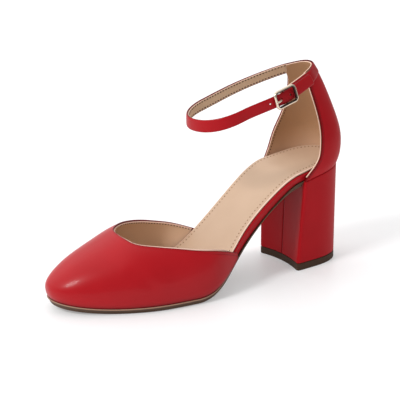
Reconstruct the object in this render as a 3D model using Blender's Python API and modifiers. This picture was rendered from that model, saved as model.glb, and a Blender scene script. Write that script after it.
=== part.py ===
"""Block heel sandal for the left foot: closed round toe, open waist, ankle strap, covered block heel.

The toe points along -X, the outer side of the foot is -Y and +Z is up. Tables and functions work in
millimetres: "along" runs from the back of the heel to the toe, "across" to the inner side, "up" from
the floor. place() turns them to metres, and the shoe's empty then stands the middle of its box over
the origin.
"""
import math

import bmesh
import bpy
import numpy as np
from mathutils import Vector

MM = 0.001
GAP = 0.3
NAME = "block_heel_sandal"

# Fineness of the facets
DENSE = 400
STEP = 0.01
MERGE = 1e-6
SHARP = math.radians(40)
VAMP_COLUMNS, SKIRT_ROWS, DOME_ROWS, DOME_CROWDING = 56, 2, 10, 2.2
QUARTER_COLUMNS, QUARTER_ROWS, QUARTER_CROWDING = 33, 11, 1.3
STRAP_COLUMNS = 72
OUTSOLE_ROWS, BOARD_ROWS, SOLE_COLUMNS = 44, 46, 7
HEEL_SIDE_POINTS, HEEL_BREAST_POINTS = 14, 9
CORNER_POINTS = 5

# Bottom of the last: heel seat, waist, tread and toe spring
TOE = 229.0
SEAT_BACK = 3.0
SEAT_HEIGHT = 76.8
SEAT_SLOPE = 0.186
BREAST = 46.8
TREAD_START = 139.0
TREAD_END = 185.0
TOE_SPRING = 4.0
SPRING_POWER = 2.2
SOLE_THICKNESS = 3.2
WAIST_SKIVE = 1.9
SKIVE_START, SKIVE_END = 48.0, 105.0
SKIVE_RISE, SKIVE_FALL = 20.0, 27.0
BOARD_FOLLOW = 0.85

# Outline of the feather line, half widths to each side of the foot's middle line
OUTLINE = [
    ("along", "lateral", "medial", "swing"),
    (3, 26.2, 26.3, 0.0),
    (25, 26.7, 26.6, 0.0),
    (47, 29.2, 27.6, 0.0),
    (70, 29.4, 26.8, 0.0),
    (95, 30.6, 26.4, 0.0),
    (120, 38.2, 32.5, -0.6),
    (145, 41.0, 38.6, 1.2),
    (165, 40.4, 38.6, 2.8),
    (185, 37.0, 35.0, 4.2),
    (205, 33.4, 32.2, 5.4),
    (232, 30.7, 28.2, 5.9),
]
TOE_REACH, TOE_POWER = 66.0, 2.15
HEEL_REACH, HEEL_POWER = 28.0, 2.2

# Upper walls
WALL = 2.0
BULGE = 2.2
EQUATOR = 6.5
REAR_EQUATOR = 0.6
SECTION_POWER = 2.2
VAMP_REAR_SOLE = 100.0
VAMP_FADE = 30.0
SKIRT_TURN = math.radians(70)

# Height of the vamp's middle line over its widest line
RIDGE = [
    ("along", "rise"),
    (90, 60.0),
    (120, 52.0),
    (150, 43.5),
    (176, 38.0),
    (200, 27.5),
    (215, 21.6),
    (234, 12.5),
]
RIDGE_REACH, RIDGE_POWER = 37.0, 2.2

# Topline of the vamp: how far forward it has come at each angle round the section
TOPLINE = [
    ("angle", "lateral", "medial"),
    (1, 101.8, 101.7),
    (5, 105.4, 105.3),
    (12, 112.1, 111.9),
    (25, 126.0, 124.8),
    (40, 148.0, 140.5),
    (55, 170.4, 159.4),
    (70, 178.2, 173.5),
    (82, 180.9, 180.4),
    (90, 181.9, 181.9),
]

# Back of the last, from the heel seat (level 0) to the top edge (level 1)
QUARTER = [
    ("level", "back", "reach", "scale", "lateral", "medial"),
    (0.00, 3.0, 28.0, 1.000, 45.2, 45.2),
    (0.06, 1.3, 28.0, 1.050, 42.4, 43.0),
    (0.14, 0.1, 29.0, 1.088, 36.6, 39.4),
    (0.28, 0.1, 32.0, 1.104, 31.5, 35.0),
    (0.45, 3.2, 38.0, 1.050, 29.6, 29.8),
    (0.65, 8.7, 46.0, 0.970, 30.7, 27.6),
    (0.83, 14.6, 56.0, 0.945, 33.6, 28.8),
    (1.00, 21.4, 66.0, 0.940, 36.5, 31.5),
]
QUARTER_RISE = 73.8

# Ankle strap and buckle
STRAP_SLOPE = 0.32
STRAP_FRONT = 118.0
STRAP_REACH, STRAP_POWER = 22.0, 2.0
STRAP_WIDTH = 8.0
STRAP_THICKNESS = 2.0
STRAP_LOW = 1 - STRAP_WIDTH / QUARTER_RISE
STRAP_MIDDLE = (1 + STRAP_LOW) / 2
STRAP_RAMP = (98.0, 73.0)
BUCKLE_AT = 64.3
CHAPE_END = BUCKLE_AT - 2.2
TAIL_END = 41.0
BUCKLE_LENGTH = 19.2
BUCKLE_WIDTH = 12.6
BUCKLE_CORNER = 2.6
WIRE = 0.85
BAR = 0.65
PRONG = [
    ("along", "rise"),
    (1.2, 0.0),
    (4.2, 0.0),
    (8.1, 1.0),
    (9.5, 1.0),
]

# Sock, board, heel and its lift
SOCK_THICKNESS = 1.5
SOCK_INSET = 0.5
BOARD = [
    ("along", "thickness"),
    (3, 5.0),
    (47, 4.8),
    (75, 6.2),
    (100, 8.4),
    (122, 6.0),
    (145, 4.0),
    (180, 3.0),
    (232, 3.0),
]
LIFT_HEIGHT = 5.4
HEEL_FOOT_BACK = 2.2
HEEL_FOOT_BREAST = 49.5
HEEL_SEAT_BREAST = 46.2
BREAST_TILT = 1.0
HEEL_FOOT_SCALE = 0.872
BREAST_HOLLOW = 4.0

# Finish of each material: colour, roughness, metallic
FINISHES = {
    "red_leather": ((0.48, 0.018, 0.024, 1), 0.42, 0.0),
    "beige_leather": ((0.60, 0.42, 0.27, 1), 0.55, 0.0),
    "brown_sole": ((0.17, 0.095, 0.055, 1), 0.6, 0.0),
    "brown_lift": ((0.11, 0.065, 0.04, 1), 0.65, 0.0),
    "pale_gold": ((0.83, 0.70, 0.52, 1), 0.22, 1.0),
}


def column(table, name):
    """One named column of a table."""
    place_in_row = table[0].index(name)
    return np.array([row[place_in_row] for row in table[1:]], float)


def smooth(table, name, at):
    """Natural cubic through a named column, read along the table's first column."""
    x, y = column(table, table[0][0]), column(table, name)
    step = np.diff(x)
    matrix, right = np.eye(len(x)), np.zeros(len(x))
    for i in range(1, len(x) - 1):
        matrix[i, i - 1:i + 2] = step[i - 1], 2 * (step[i - 1] + step[i]), step[i]
        right[i] = 6 * ((y[i + 1] - y[i]) / step[i] - (y[i] - y[i - 1]) / step[i - 1])
    bend = np.linalg.solve(matrix, right)
    at = np.clip(at, x[0], x[-1])
    i = np.clip(np.searchsorted(x, at) - 1, 0, len(x) - 2)
    low = (x[i + 1] - at) / step[i]
    high = 1 - low
    curl = (low ** 3 - low) * bend[i] + (high ** 3 - high) * bend[i + 1]
    return low * y[i] + high * y[i + 1] + curl * step[i] ** 2 / 6


def ease(value):
    """Smooth step from 0 to 1."""
    value = np.clip(value, 0, 1)
    return value * value * (3 - 2 * value)


def rounding(distance, reach, power):
    """Falls from 1 to 0 over the last stretch before a round end."""
    run = np.clip(1 - distance / reach, 0, 1)
    return (1 - run ** power) ** (1 / power)


def feather(along):
    """Height of the feather line, where the upper meets the sole."""
    seat = SEAT_HEIGHT - SEAT_SLOPE * (along - SEAT_BACK)
    tread = SOLE_THICKNESS + GAP
    drop = SEAT_HEIGHT - SEAT_SLOPE * (BREAST - SEAT_BACK) - tread
    run = TREAD_START - BREAST
    s = np.clip((along - BREAST) / run, 0, 1)
    waist = tread + drop * (2 * s ** 3 - 3 * s ** 2 + 1) - SEAT_SLOPE * run * (s ** 3 - 2 * s ** 2 + s)
    lift = np.clip((along - TREAD_END) / (TOE - TREAD_END), 0, None)
    return np.where(along < BREAST, seat, waist + TOE_SPRING * lift ** SPRING_POWER)


def half_width(along, side, inset=0.0):
    """Half width of the last's bottom on one side, drawn in all round by inset."""
    toe = rounding(TOE - inset - along, TOE_REACH, TOE_POWER)
    heel = rounding(along - SEAT_BACK - inset, HEEL_REACH, HEEL_POWER)
    return (smooth(OUTLINE, side, along) - inset) * toe * heel


def middle(along):
    """Sideways place of the foot's middle line."""
    return smooth(OUTLINE, "swing", along)


def even(curve, count):
    """Points at even distances along a dense curve."""
    length = np.concatenate([[0], np.cumsum(np.linalg.norm(np.diff(curve, axis=0), axis=1))])
    at = np.linspace(0, length[-1], count)
    return np.stack([np.interp(at, length, curve[:, k]) for k in range(curve.shape[1])], axis=1)


def place(along, across, up):
    """Shoe sizes in millimetres to scene coordinates in metres."""
    return np.stack(np.broadcast_arrays(-along, across, up), axis=-1) * MM


def vamp_fade(along):
    """0 at the rear ends of the vamp, 1 from the ball forward."""
    return ease((along - VAMP_REAR_SOLE) / VAMP_FADE)


def vamp_width(along, side):
    """Half width of the vamp at its widest line."""
    return half_width(along, side, -BULGE * vamp_fade(along))


def vamp_equator(along):
    """Height of the vamp's widest line over the feather line."""
    return REAR_EQUATOR + (EQUATOR - REAR_EQUATOR) * vamp_fade(along)


def vamp_height(along, across):
    """Height of the vamp over a point of the plan inside its widest line."""
    off = across - middle(along)
    width = np.where(off < 0, vamp_width(along, "lateral"), vamp_width(along, "medial"))
    ratio = np.clip(np.abs(off) / np.maximum(width, 1e-6), 0, 1)
    ridge = smooth(RIDGE, "rise", along) * rounding(TOE + BULGE - along, RIDGE_REACH, RIDGE_POWER)
    return feather(along) + vamp_equator(along) + ridge * (1 - ratio ** SECTION_POWER) ** (1 / SECTION_POWER)


def vamp_side(side, count):
    """Widest line and topline of one side in plan, from the rear end to the front."""
    sign = -1 if side == "lateral" else 1
    tip = TOE + BULGE
    turn = np.linspace(0, math.pi / 2, DENSE)
    along = VAMP_REAR_SOLE + (tip - VAMP_REAR_SOLE) * np.sin(turn)
    rim = np.stack([along, middle(along) + sign * vamp_width(along, side)], axis=1)
    angle = np.linspace(TOPLINE[1][0], TOPLINE[-1][0], DENSE)
    along = smooth(TOPLINE, side, angle)
    reach = np.abs(np.cos(np.radians(angle))) ** (2 / SECTION_POWER)
    top = np.stack([along, middle(along) + sign * vamp_width(along, side) * reach], axis=1)
    return even(rim, count), even(top, count)


def vamp_surface(columns, skirt_rows, dome_rows):
    """Outer face of the vamp: columns from rear end to rear end, rows from feather line to topline."""
    half = columns // 2 + 1
    lateral, medial = vamp_side("lateral", half), vamp_side("medial", half)
    rim = np.concatenate([lateral[0], medial[0][::-1][1:]])
    top = np.concatenate([lateral[1], medial[1][::-1][1:]])
    run = np.gradient(rim, axis=0)
    outward = np.stack([run[:, 1], -run[:, 0]], axis=1)
    outward /= np.linalg.norm(outward, axis=1, keepdims=True)
    outward *= np.sign(np.sum(outward * (rim - [TOE / 2 + VAMP_REAR_SOLE / 2, 0]), axis=1, keepdims=True))
    rows = []
    for turn in np.linspace(SKIRT_TURN, 0, skirt_rows, endpoint=False):
        inward = BULGE * vamp_fade(rim[:, :1]) * (1 - math.cos(turn)) / (1 - math.cos(SKIRT_TURN))
        plan = rim - outward * inward
        rise = vamp_equator(plan[:, 0]) * (1 - math.sin(turn) / math.sin(SKIRT_TURN))
        rows.append(place(plan[:, 0], plan[:, 1], feather(plan[:, 0]) + rise))
    for share in np.linspace(0, 1, dome_rows) ** DOME_CROWDING:
        plan = rim + (top - rim) * share
        height = vamp_height(plan[:, 0], plan[:, 1])
        if share == 0:
            height = feather(plan[:, 0]) + vamp_equator(plan[:, 0])
        rows.append(place(plan[:, 0], plan[:, 1], height))
    return np.stack(rows, axis=1)


def top_edge(along):
    """Height of the quarter's and strap's top edge."""
    return SEAT_HEIGHT + QUARTER_RISE - STRAP_SLOPE * (along - column(QUARTER, "back")[-1])


def back_ring(along, side, level):
    """Half width of the back of the last at a level."""
    behind = along - smooth(QUARTER, "back", level)
    width = smooth(QUARTER, "scale", level) * smooth(OUTLINE, side, behind + SEAT_BACK)
    return width * rounding(behind, smooth(QUARTER, "reach", level), HEEL_POWER)


def quarter_surface(columns, rows):
    """Outer face of the quarter, from its lateral front edge round the back to its medial one."""
    turn = np.linspace(-1, 1, columns)[:, None]
    level = np.linspace(0, 1, rows)[None, :] ** QUARTER_CROWDING
    back = smooth(QUARTER, "back", level)
    points = []
    for side, sign, part in (("lateral", -1, turn <= 0), ("medial", 1, turn > 0)):
        front = smooth(QUARTER, side, level)
        along = back + (front - back) * (1 - np.cos(np.abs(turn) * math.pi / 2))
        up = (1 - level) * feather(along) + level * top_edge(along)
        points.append((part, place(along, sign * back_ring(along, side, level), up)))
    return np.where(points[0][0][..., None], points[0][1], points[1][1])


def strap_turn(along):
    """Loop angle from the back at which the strap has come this far forward."""
    back = smooth(QUARTER, "back", STRAP_MIDDLE)
    return math.acos(1 - 2 * (along - back) / (STRAP_FRONT - back))


def strap_loop(turn, level):
    """A point of the strap's loop: turn 0 at the back, pi at the front, beyond pi on the lateral side."""
    back = smooth(QUARTER, "back", level)
    along = back + (STRAP_FRONT - back) * (1 - np.cos(turn)) / 2
    lateral = np.sin(turn) < 0
    ring = np.where(lateral, -back_ring(along, "lateral", level), back_ring(along, "medial", level))
    across = ring * rounding(STRAP_FRONT - along, STRAP_REACH, STRAP_POWER)
    return np.stack([along, across, top_edge(along) - (1 - level) * QUARTER_RISE], axis=-1)


def strap_normal(turn, level):
    """Outward direction of the strap, level with the floor."""
    run = strap_loop(turn + STEP, level) - strap_loop(turn - STEP, level)
    out = np.stack([-run[..., 1], run[..., 0], 0 * run[..., 2]], axis=-1)
    return out / np.linalg.norm(out, axis=-1, keepdims=True)


def strap_point(turn, level, outward):
    """A point outside the strap's loop."""
    return strap_loop(turn, level) + np.asarray(outward)[..., None] * strap_normal(turn, level)


def strap_lift(turn):
    """How far the strap stands off its loop, rising to pass over its own sewn end."""
    start, stop = (2 * math.pi - strap_turn(edge) for edge in STRAP_RAMP)
    over = ease((turn - start) / (stop - start))
    return GAP + (STRAP_THICKNESS + GAP) * over


def strap_surface(columns):
    """Inner face of the strap, from its sewn end at the buckle round the ankle to the tip of its tail."""
    first, last = -strap_turn(CHAPE_END), 2 * math.pi - strap_turn(TAIL_END)
    turn = np.linspace(first, last, columns)
    edges = []
    for level in (STRAP_LOW, STRAP_MIDDLE, 1.0):
        point = strap_point(turn, level, strap_lift(turn))
        edges.append(place(point[:, 0], point[:, 1], point[:, 2]))
    return np.stack(edges, axis=1)


def finish(name):
    """Material of one of the finishes."""
    material = bpy.data.materials.get(name)
    if material is None:
        colour, rough, metal = FINISHES[name]
        material = bpy.data.materials.new(name)
        material.use_nodes = True
        shader = material.node_tree.nodes["Principled BSDF"]
        shader.inputs["Base Color"].default_value = colour
        shader.inputs["Roughness"].default_value = rough
        shader.inputs["Metallic"].default_value = metal
    return material


def add_object(name, mesh, material):
    """A named piece of the shoe, shaded smooth, under the shoe's empty."""
    piece = bpy.data.objects.new(name, mesh)
    parts.objects.link(piece)
    piece.parent = shoe
    mesh.materials.append(finish(material))
    mesh.shade_smooth()
    mesh.set_sharp_from_angle(angle=SHARP)
    return piece


def grid(points):
    """Grid mesh through rows and columns of points, with doubled points merged."""
    columns, rows = points.shape[:2]
    shape = bmesh.new()
    bmesh.ops.create_grid(shape, x_segments=columns - 1, y_segments=rows - 1, size=1)
    shape.verts.ensure_lookup_table()
    order = sorted(shape.verts, key=lambda v: (round(v.co.x, 5), round(v.co.y, 5)))
    for vert, point in zip(order, points.reshape(-1, 3)):
        vert.co = point
    bmesh.ops.remove_doubles(shape, verts=shape.verts, dist=MERGE)
    return shape


def shell(name, points, thickness, offset, material):
    """Wall of even thickness on a grid of points whose faces are turned away from the foot."""
    shape = grid(points)
    heart = sum((f.calc_center_median() for f in shape.faces), Vector()) / len(shape.faces)
    facing = sum(f.normal.dot(f.calc_center_median() - heart) * f.calc_area() for f in shape.faces)
    if facing < 0:
        bmesh.ops.reverse_faces(shape, faces=shape.faces)
    mesh = bpy.data.meshes.new(name)
    shape.to_mesh(mesh)
    shape.free()
    piece = add_object(name, mesh, material)
    wall = piece.modifiers.new("wall", "SOLIDIFY")
    wall.thickness = thickness * MM
    wall.offset = offset
    wall.use_even_offset = True
    return piece


def slab(name, plan, bottom, top, material):
    """Closed slab: a grid of plan points drawn up from its bottom heights to its top heights."""
    along, across = plan
    shape = grid(place(along, across, bottom(along)))
    raised = bmesh.ops.extrude_face_region(shape, geom=shape.faces[:])
    for vert in raised["geom"]:
        if isinstance(vert, bmesh.types.BMVert):
            vert.co.z = float(top(np.array(-vert.co.x / MM))) * MM
    bmesh.ops.recalc_face_normals(shape, faces=shape.faces)
    mesh = bpy.data.meshes.new(name)
    shape.to_mesh(mesh)
    shape.free()
    return add_object(name, mesh, material)


def sole_plan(start, inset, run):
    """Plan points of a sole layer, drawn in by inset; run spaces its rows from start to the toe."""
    share = np.linspace(-1, 1, SOLE_COLUMNS)[None, :]
    stop = TOE - inset(np.array(TOE))
    begin = start(share)
    along = begin + (stop - begin) * run[:, None]
    draw = inset(along)
    lateral, medial = half_width(along, "lateral", draw), half_width(along, "medial", draw)
    return along, middle(along) + share * np.where(share < 0, lateral, medial)


def breast_line(share):
    """Where the outsole begins, just ahead of the hollowed heel breast."""
    return HEEL_SEAT_BREAST + BREAST_TILT * share - BREAST_HOLLOW * (1 - share ** 2) + GAP


def skive(along):
    """How much thinner the outsole is in the waist, where the board comes down to meet it."""
    rise = ease((along - SKIVE_START) / SKIVE_RISE)
    return WAIST_SKIVE * rise * ease((SKIVE_END - along) / SKIVE_FALL)


def board_bottom(along):
    """Underside of the board."""
    return feather(along) - BOARD_FOLLOW * skive(along)


def board_top(along):
    """Top of the board."""
    return feather(along) + smooth(BOARD, "thickness", along)


def make_soles():
    """Outsole, board with its wrapped edge and sock lining."""
    front_run = np.sin(np.linspace(0, math.pi / 2, OUTSOLE_ROWS))
    plan = sole_plan(breast_line, lambda along: WALL * (1 - vamp_fade(along)), front_run)
    slab("outsole", plan, lambda along: feather(along) - GAP - SOLE_THICKNESS,
         lambda along: feather(along) - GAP - skive(along), "brown_sole")
    whole_run = (1 - np.cos(np.linspace(0, math.pi, BOARD_ROWS))) / 2
    draw = WALL + GAP
    plan = sole_plan(lambda share: SEAT_BACK + draw, lambda along: draw, whole_run)
    slab("insole_board", plan, board_bottom, board_top, "red_leather")
    draw = WALL + GAP + SOCK_INSET
    plan = sole_plan(lambda share: SEAT_BACK + draw, lambda along: draw, whole_run)
    slab("sock", plan, lambda along: board_top(along) + GAP,
         lambda along: board_top(along) + GAP + SOCK_THICKNESS, "beige_leather")


def heel_outline(level):
    """Plan of the heel block: rounded sides and back, hollow breast; level 0 at its foot, 1 at the seat."""
    back = HEEL_FOOT_BACK + (SEAT_BACK - HEEL_FOOT_BACK) * level
    front = HEEL_FOOT_BREAST + (HEEL_SEAT_BREAST - HEEL_FOOT_BREAST) * level
    scale = HEEL_FOOT_SCALE + (1 - HEEL_FOOT_SCALE) * level
    share = 1 - np.cos(np.linspace(0, math.pi / 2, HEEL_SIDE_POINTS))
    seat = SEAT_BACK + (BREAST - SEAT_BACK) * share
    lateral_along = back + (front - BREAST_TILT - back) * share
    medial_along = back + (front + BREAST_TILT - back) * share
    lateral = np.stack([lateral_along, -scale * half_width(seat, "lateral")], axis=1)
    medial = np.stack([medial_along, scale * half_width(seat, "medial")], axis=1)
    bow = np.linspace(1, -1, HEEL_BREAST_POINTS)[1:-1]
    width = np.where(bow < 0, -lateral[-1, 1], medial[-1, 1])
    breast_along = front + BREAST_TILT * bow - BREAST_HOLLOW * (1 - bow ** 2)
    breast = np.stack([breast_along, bow * width], axis=1)
    return np.concatenate([medial, breast, lateral[::-1][:-1]])


def block(name, rings, material):
    """Closed block through rings of points, one above the other."""
    shape = bmesh.new()
    made = bmesh.ops.create_circle(shape, cap_ends=True, segments=len(rings[0]), radius=1)
    face = shape.faces[:][0]
    for vert, point in zip(made["verts"], rings[0]):
        vert.co = point
    ring = made["verts"]
    for points in rings[1:]:
        raised = bmesh.ops.extrude_face_region(shape, geom=[face])["geom"]
        face = next(item for item in raised if isinstance(item, bmesh.types.BMFace))
        partner = {}
        for vert in (item for item in raised if isinstance(item, bmesh.types.BMVert)):
            partner[next(i for i, old in enumerate(ring) if (old.co - vert.co).length < MERGE)] = vert
        ring = [partner[i] for i in range(len(ring))]
        for vert, point in zip(ring, points):
            vert.co = point
    bmesh.ops.recalc_face_normals(shape, faces=shape.faces)
    mesh = bpy.data.meshes.new(name)
    shape.to_mesh(mesh)
    shape.free()
    return add_object(name, mesh, material)


def make_heel():
    """Covered block heel and its lift."""
    foot, seat = heel_outline(0), heel_outline(1)
    floor = np.zeros(len(foot))
    block("top_lift", [place(foot[:, 0], foot[:, 1], floor),
                       place(foot[:, 0], foot[:, 1], floor + LIFT_HEIGHT)], "brown_lift")
    block("heel_block", [place(foot[:, 0], foot[:, 1], floor + LIFT_HEIGHT + GAP),
                         place(seat[:, 0], seat[:, 1], feather(seat[:, 0]) - GAP)], "red_leather")


def wire(name, route, radius, closed):
    """Round metal wire along a route, as a closed mesh."""
    curve = bpy.data.curves.new(name, "CURVE")
    curve.dimensions = "3D"
    curve.bevel_depth = radius * MM
    curve.bevel_resolution = 2
    curve.use_fill_caps = not closed
    spline = curve.splines.new("POLY")
    spline.points.add(len(route) - 1)
    for point, co in zip(spline.points, route):
        point.co = (*co, 1)
    spline.use_cyclic_u = closed
    guide = bpy.data.objects.new(name, curve)
    bpy.context.scene.collection.objects.link(guide)
    mesh = bpy.data.meshes.new_from_object(guide.evaluated_get(bpy.context.evaluated_depsgraph_get()))
    bpy.data.objects.remove(guide)
    shape = bmesh.new()
    shape.from_mesh(mesh)
    bmesh.ops.remove_doubles(shape, verts=shape.verts, dist=MERGE)
    bmesh.ops.recalc_face_normals(shape, faces=shape.faces)
    shape.to_mesh(mesh)
    shape.free()
    return mesh


def buckle_place():
    """Centre of the buckle on the strap's outer face, and its directions along, across and outward."""
    turn = 2 * math.pi - strap_turn(BUCKLE_AT)
    lift = strap_lift(turn) + STRAP_THICKNESS
    here = strap_point(turn, STRAP_MIDDLE, lift)
    ahead = strap_point(turn - STEP, STRAP_MIDDLE, lift)
    lower = strap_point(turn, STRAP_LOW, lift)
    axis_along = (ahead - here) / np.linalg.norm(ahead - here)
    axis_across = here - lower
    axis_across -= axis_along * np.dot(axis_across, axis_along)
    axis_across /= np.linalg.norm(axis_across)
    axis_out = np.cross(axis_along, axis_across)
    axis_out *= np.sign(np.dot(axis_out, strap_normal(turn, STRAP_MIDDLE)))
    return here, axis_along, axis_across, axis_out


def buckle_route(points):
    """Points given along, across and out of the buckle, in scene coordinates."""
    here, along, across, out = buckle_place()
    spots = [here + p[0] * along + p[1] * across + p[2] * out for p in points]
    return [tuple(place(*spot)) for spot in spots]


def make_buckle():
    """Buckle: rounded frame over the strap, centre bar under it, prong on top."""
    level = GAP + WIRE
    long, wide = BUCKLE_LENGTH / 2 - WIRE, BUCKLE_WIDTH / 2 - WIRE
    loop = []
    for corner, (sx, sy) in enumerate(((1, 1), (-1, 1), (-1, -1), (1, -1))):
        for turn in np.linspace(0, math.pi / 2, CORNER_POINTS) + corner * math.pi / 2:
            loop.append((sx * (long - BUCKLE_CORNER) + BUCKLE_CORNER * math.cos(turn),
                         sy * (wide - BUCKLE_CORNER) + BUCKLE_CORNER * math.sin(turn), level))
    frame = add_object("buckle_frame", wire("buckle_frame", buckle_route(loop), WIRE, True), "pale_gold")
    under = -STRAP_THICKNESS - GAP - BAR
    staple = [(0, wide, level), (0, wide, under), (0, -wide, under), (0, -wide, level)]
    bar = bpy.data.objects.new("buckle_bar", wire("buckle_bar", buckle_route(staple), BAR, False))
    cutters.objects.link(bar)
    bar.parent = shoe
    bar.hide_render = True
    bar.display_type = "WIRE"
    join = frame.modifiers.new("bar", "BOOLEAN")
    join.operation = "UNION"
    join.object = bar
    lying = GAP + BAR
    climb = 2 * WIRE + GAP
    prong = [(along, 0, lying + climb * rise) for along, rise in PRONG[1:]]
    add_object("buckle_prong", wire("buckle_prong", buckle_route(prong), BAR, False), "pale_gold")


for old in list(bpy.data.objects):
    bpy.data.objects.remove(old)
parts = bpy.data.collections.new(NAME)
cutters = bpy.data.collections.new(NAME + "_cutters")
bpy.context.scene.collection.children.link(parts)
bpy.context.scene.collection.children.link(cutters)
shoe = bpy.data.objects.new(NAME, None)
parts.objects.link(shoe)

make_soles()
make_heel()
shell("vamp", vamp_surface(VAMP_COLUMNS, SKIRT_ROWS, DOME_ROWS), WALL, -1, "red_leather")
shell("quarter", quarter_surface(QUARTER_COLUMNS, QUARTER_ROWS), WALL, -1, "red_leather")
shell("ankle_strap", strap_surface(STRAP_COLUMNS), STRAP_THICKNESS, 1, "red_leather")
make_buckle()

# Stand the shoe with the middle of its box over the origin
bpy.context.view_layer.update()
depsgraph = bpy.context.evaluated_depsgraph_get()
corners = np.array([v.co[:] for piece in parts.objects if piece.type == "MESH"
                    for v in piece.evaluated_get(depsgraph).data.vertices])
low, high = corners.min(axis=0), corners.max(axis=0)
shoe.location = (-(low[0] + high[0]) / 2, -(low[1] + high[1]) / 2, -low[2])
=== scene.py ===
"""Looks of a block heel sandal for the left foot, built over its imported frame.

Shoe sizes are millimetres: "along" runs from the back of the heel to the toe, "across" to the inner
side of the foot and "up" from the floor. place() turns them into the frame's metres.
"""
import math

import bmesh
import bpy
import numpy as np
from mathutils import Matrix, Vector


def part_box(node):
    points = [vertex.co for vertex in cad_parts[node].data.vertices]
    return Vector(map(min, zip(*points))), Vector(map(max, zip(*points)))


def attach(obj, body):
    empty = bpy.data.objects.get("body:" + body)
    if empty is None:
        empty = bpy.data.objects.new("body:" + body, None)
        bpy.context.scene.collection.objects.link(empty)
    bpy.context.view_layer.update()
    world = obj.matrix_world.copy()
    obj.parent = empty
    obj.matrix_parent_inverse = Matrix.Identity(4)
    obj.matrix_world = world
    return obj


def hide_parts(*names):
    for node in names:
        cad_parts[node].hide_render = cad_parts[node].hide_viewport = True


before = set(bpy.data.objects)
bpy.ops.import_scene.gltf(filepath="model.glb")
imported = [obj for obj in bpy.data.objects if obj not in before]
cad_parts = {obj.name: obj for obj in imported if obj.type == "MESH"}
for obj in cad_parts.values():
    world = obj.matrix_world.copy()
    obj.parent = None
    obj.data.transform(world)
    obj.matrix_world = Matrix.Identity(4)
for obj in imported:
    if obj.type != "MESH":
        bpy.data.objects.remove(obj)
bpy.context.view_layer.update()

# Outsole: a thin resin sole from the heel breast to the toe, flat at the ball and sprung at the toe.
# It is cemented under the board and the turned-in upper. Its edge is stained brown, and round the
# forepart it ends in a paler lip that stands up against the upper.
# The lip's top is a paler stain, made paler still as a painted highlight, less so in the waist.
MM = 0.001
GAP = 0.3
MERGE = 1e-6
TOE, SEAT_BACK, BREAST = 229.0, 3.0, 46.8
SEAT_HEIGHT, SEAT_SLOPE = 76.8, 0.186
TREAD_START, TREAD_END = 139.0, 185.0
TOE_SPRING, SPRING_POWER = 4.0, 2.2
SOLE_THICKNESS = 3.2
WAIST_SKIVE, SKIVE_START, SKIVE_END = 1.9, 48.0, 105.0
SKIVE_RISE, SKIVE_FALL = 20.0, 27.0
OUTLINE = [
    ("along", "lateral", "medial", "swing"),
    (3, 26.2, 26.3, 0.0),
    (25, 26.7, 26.6, 0.0),
    (47, 29.2, 27.6, 0.0),
    (70, 29.4, 26.8, 0.0),
    (95, 30.6, 26.4, 0.0),
    (120, 38.2, 32.5, -0.6),
    (145, 41.0, 38.6, 1.2),
    (165, 40.4, 38.6, 2.8),
    (185, 37.0, 35.0, 4.2),
    (205, 33.4, 32.2, 5.4),
    (232, 30.7, 28.2, 5.9),
]
TOE_REACH, TOE_POWER = 66.0, 2.15
HEEL_REACH, HEEL_POWER = 28.0, 2.2
WALL = 2.0
VAMP_REAR_SOLE, VAMP_FADE = 100.0, 30.0
HEEL_FOOT_BACK, HEEL_FOOT_SCALE = 2.2, 0.872
HEEL_SEAT_BREAST, BREAST_TILT, BREAST_HOLLOW = 46.2, 1.0, 4.0
SIDE_POINTS, BREAST_POINTS = 150, 40
OUTSOLE_EDGE = [
    ("draw", "rise"),
    (2.6, 0.0),
    (1.4, 0.0),
    (0.8, 0.1),
    (0.45, 0.4),
    (0.25, 0.9),
    (0.15, 1.5),
    (0.05, 1.9),
    (-0.45, 2.3),
    (-0.95, 2.75),
    (-1.3, 3.2),
    (-1.45, 3.6),
    (-1.4, 3.95),
    (-1.2, 4.15),
    (-0.95, 4.1),
    (-0.5, 3.6),
    (-0.05, 3.2),
    (0.6, 3.2),
    (2.6, 3.2),
]
WAIST_LIP, WAIST_PALE = 0.38, 0.8


def column(table, name):
    """One named column of a table."""
    place_in_row = table[0].index(name)
    return np.array([row[place_in_row] for row in table[1:]], float)


def smooth(table, name, at):
    """Natural cubic through a named column, read along the table's first column."""
    x, y = column(table, table[0][0]), column(table, name)
    step = np.diff(x)
    matrix, right = np.eye(len(x)), np.zeros(len(x))
    for i in range(1, len(x) - 1):
        matrix[i, i - 1:i + 2] = step[i - 1], 2 * (step[i - 1] + step[i]), step[i]
        right[i] = 6 * ((y[i + 1] - y[i]) / step[i] - (y[i] - y[i - 1]) / step[i - 1])
    bend = np.linalg.solve(matrix, right)
    at = np.clip(at, x[0], x[-1])
    i = np.clip(np.searchsorted(x, at) - 1, 0, len(x) - 2)
    low = (x[i + 1] - at) / step[i]
    high = 1 - low
    curl = (low ** 3 - low) * bend[i] + (high ** 3 - high) * bend[i + 1]
    return low * y[i] + high * y[i + 1] + curl * step[i] ** 2 / 6


def ease(value):
    """Smooth step from 0 to 1."""
    value = np.clip(value, 0, 1)
    return value * value * (3 - 2 * value)


def rounding(distance, reach, power):
    """Falls from 1 to 0 over the last stretch before a round end."""
    run = np.clip(1 - distance / reach, 0, 1)
    return (1 - run ** power) ** (1 / power)


def feather(along):
    """Height of the feather line, where the upper meets the sole."""
    seat = SEAT_HEIGHT - SEAT_SLOPE * (along - SEAT_BACK)
    tread = SOLE_THICKNESS + GAP
    drop = SEAT_HEIGHT - SEAT_SLOPE * (BREAST - SEAT_BACK) - tread
    run = TREAD_START - BREAST
    s = np.clip((along - BREAST) / run, 0, 1)
    waist = tread + drop * (2 * s ** 3 - 3 * s ** 2 + 1) - SEAT_SLOPE * run * (s ** 3 - 2 * s ** 2 + s)
    lift = np.clip((along - TREAD_END) / (TOE - TREAD_END), 0, None)
    return np.where(along < BREAST, seat, waist + TOE_SPRING * lift ** SPRING_POWER)


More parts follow.
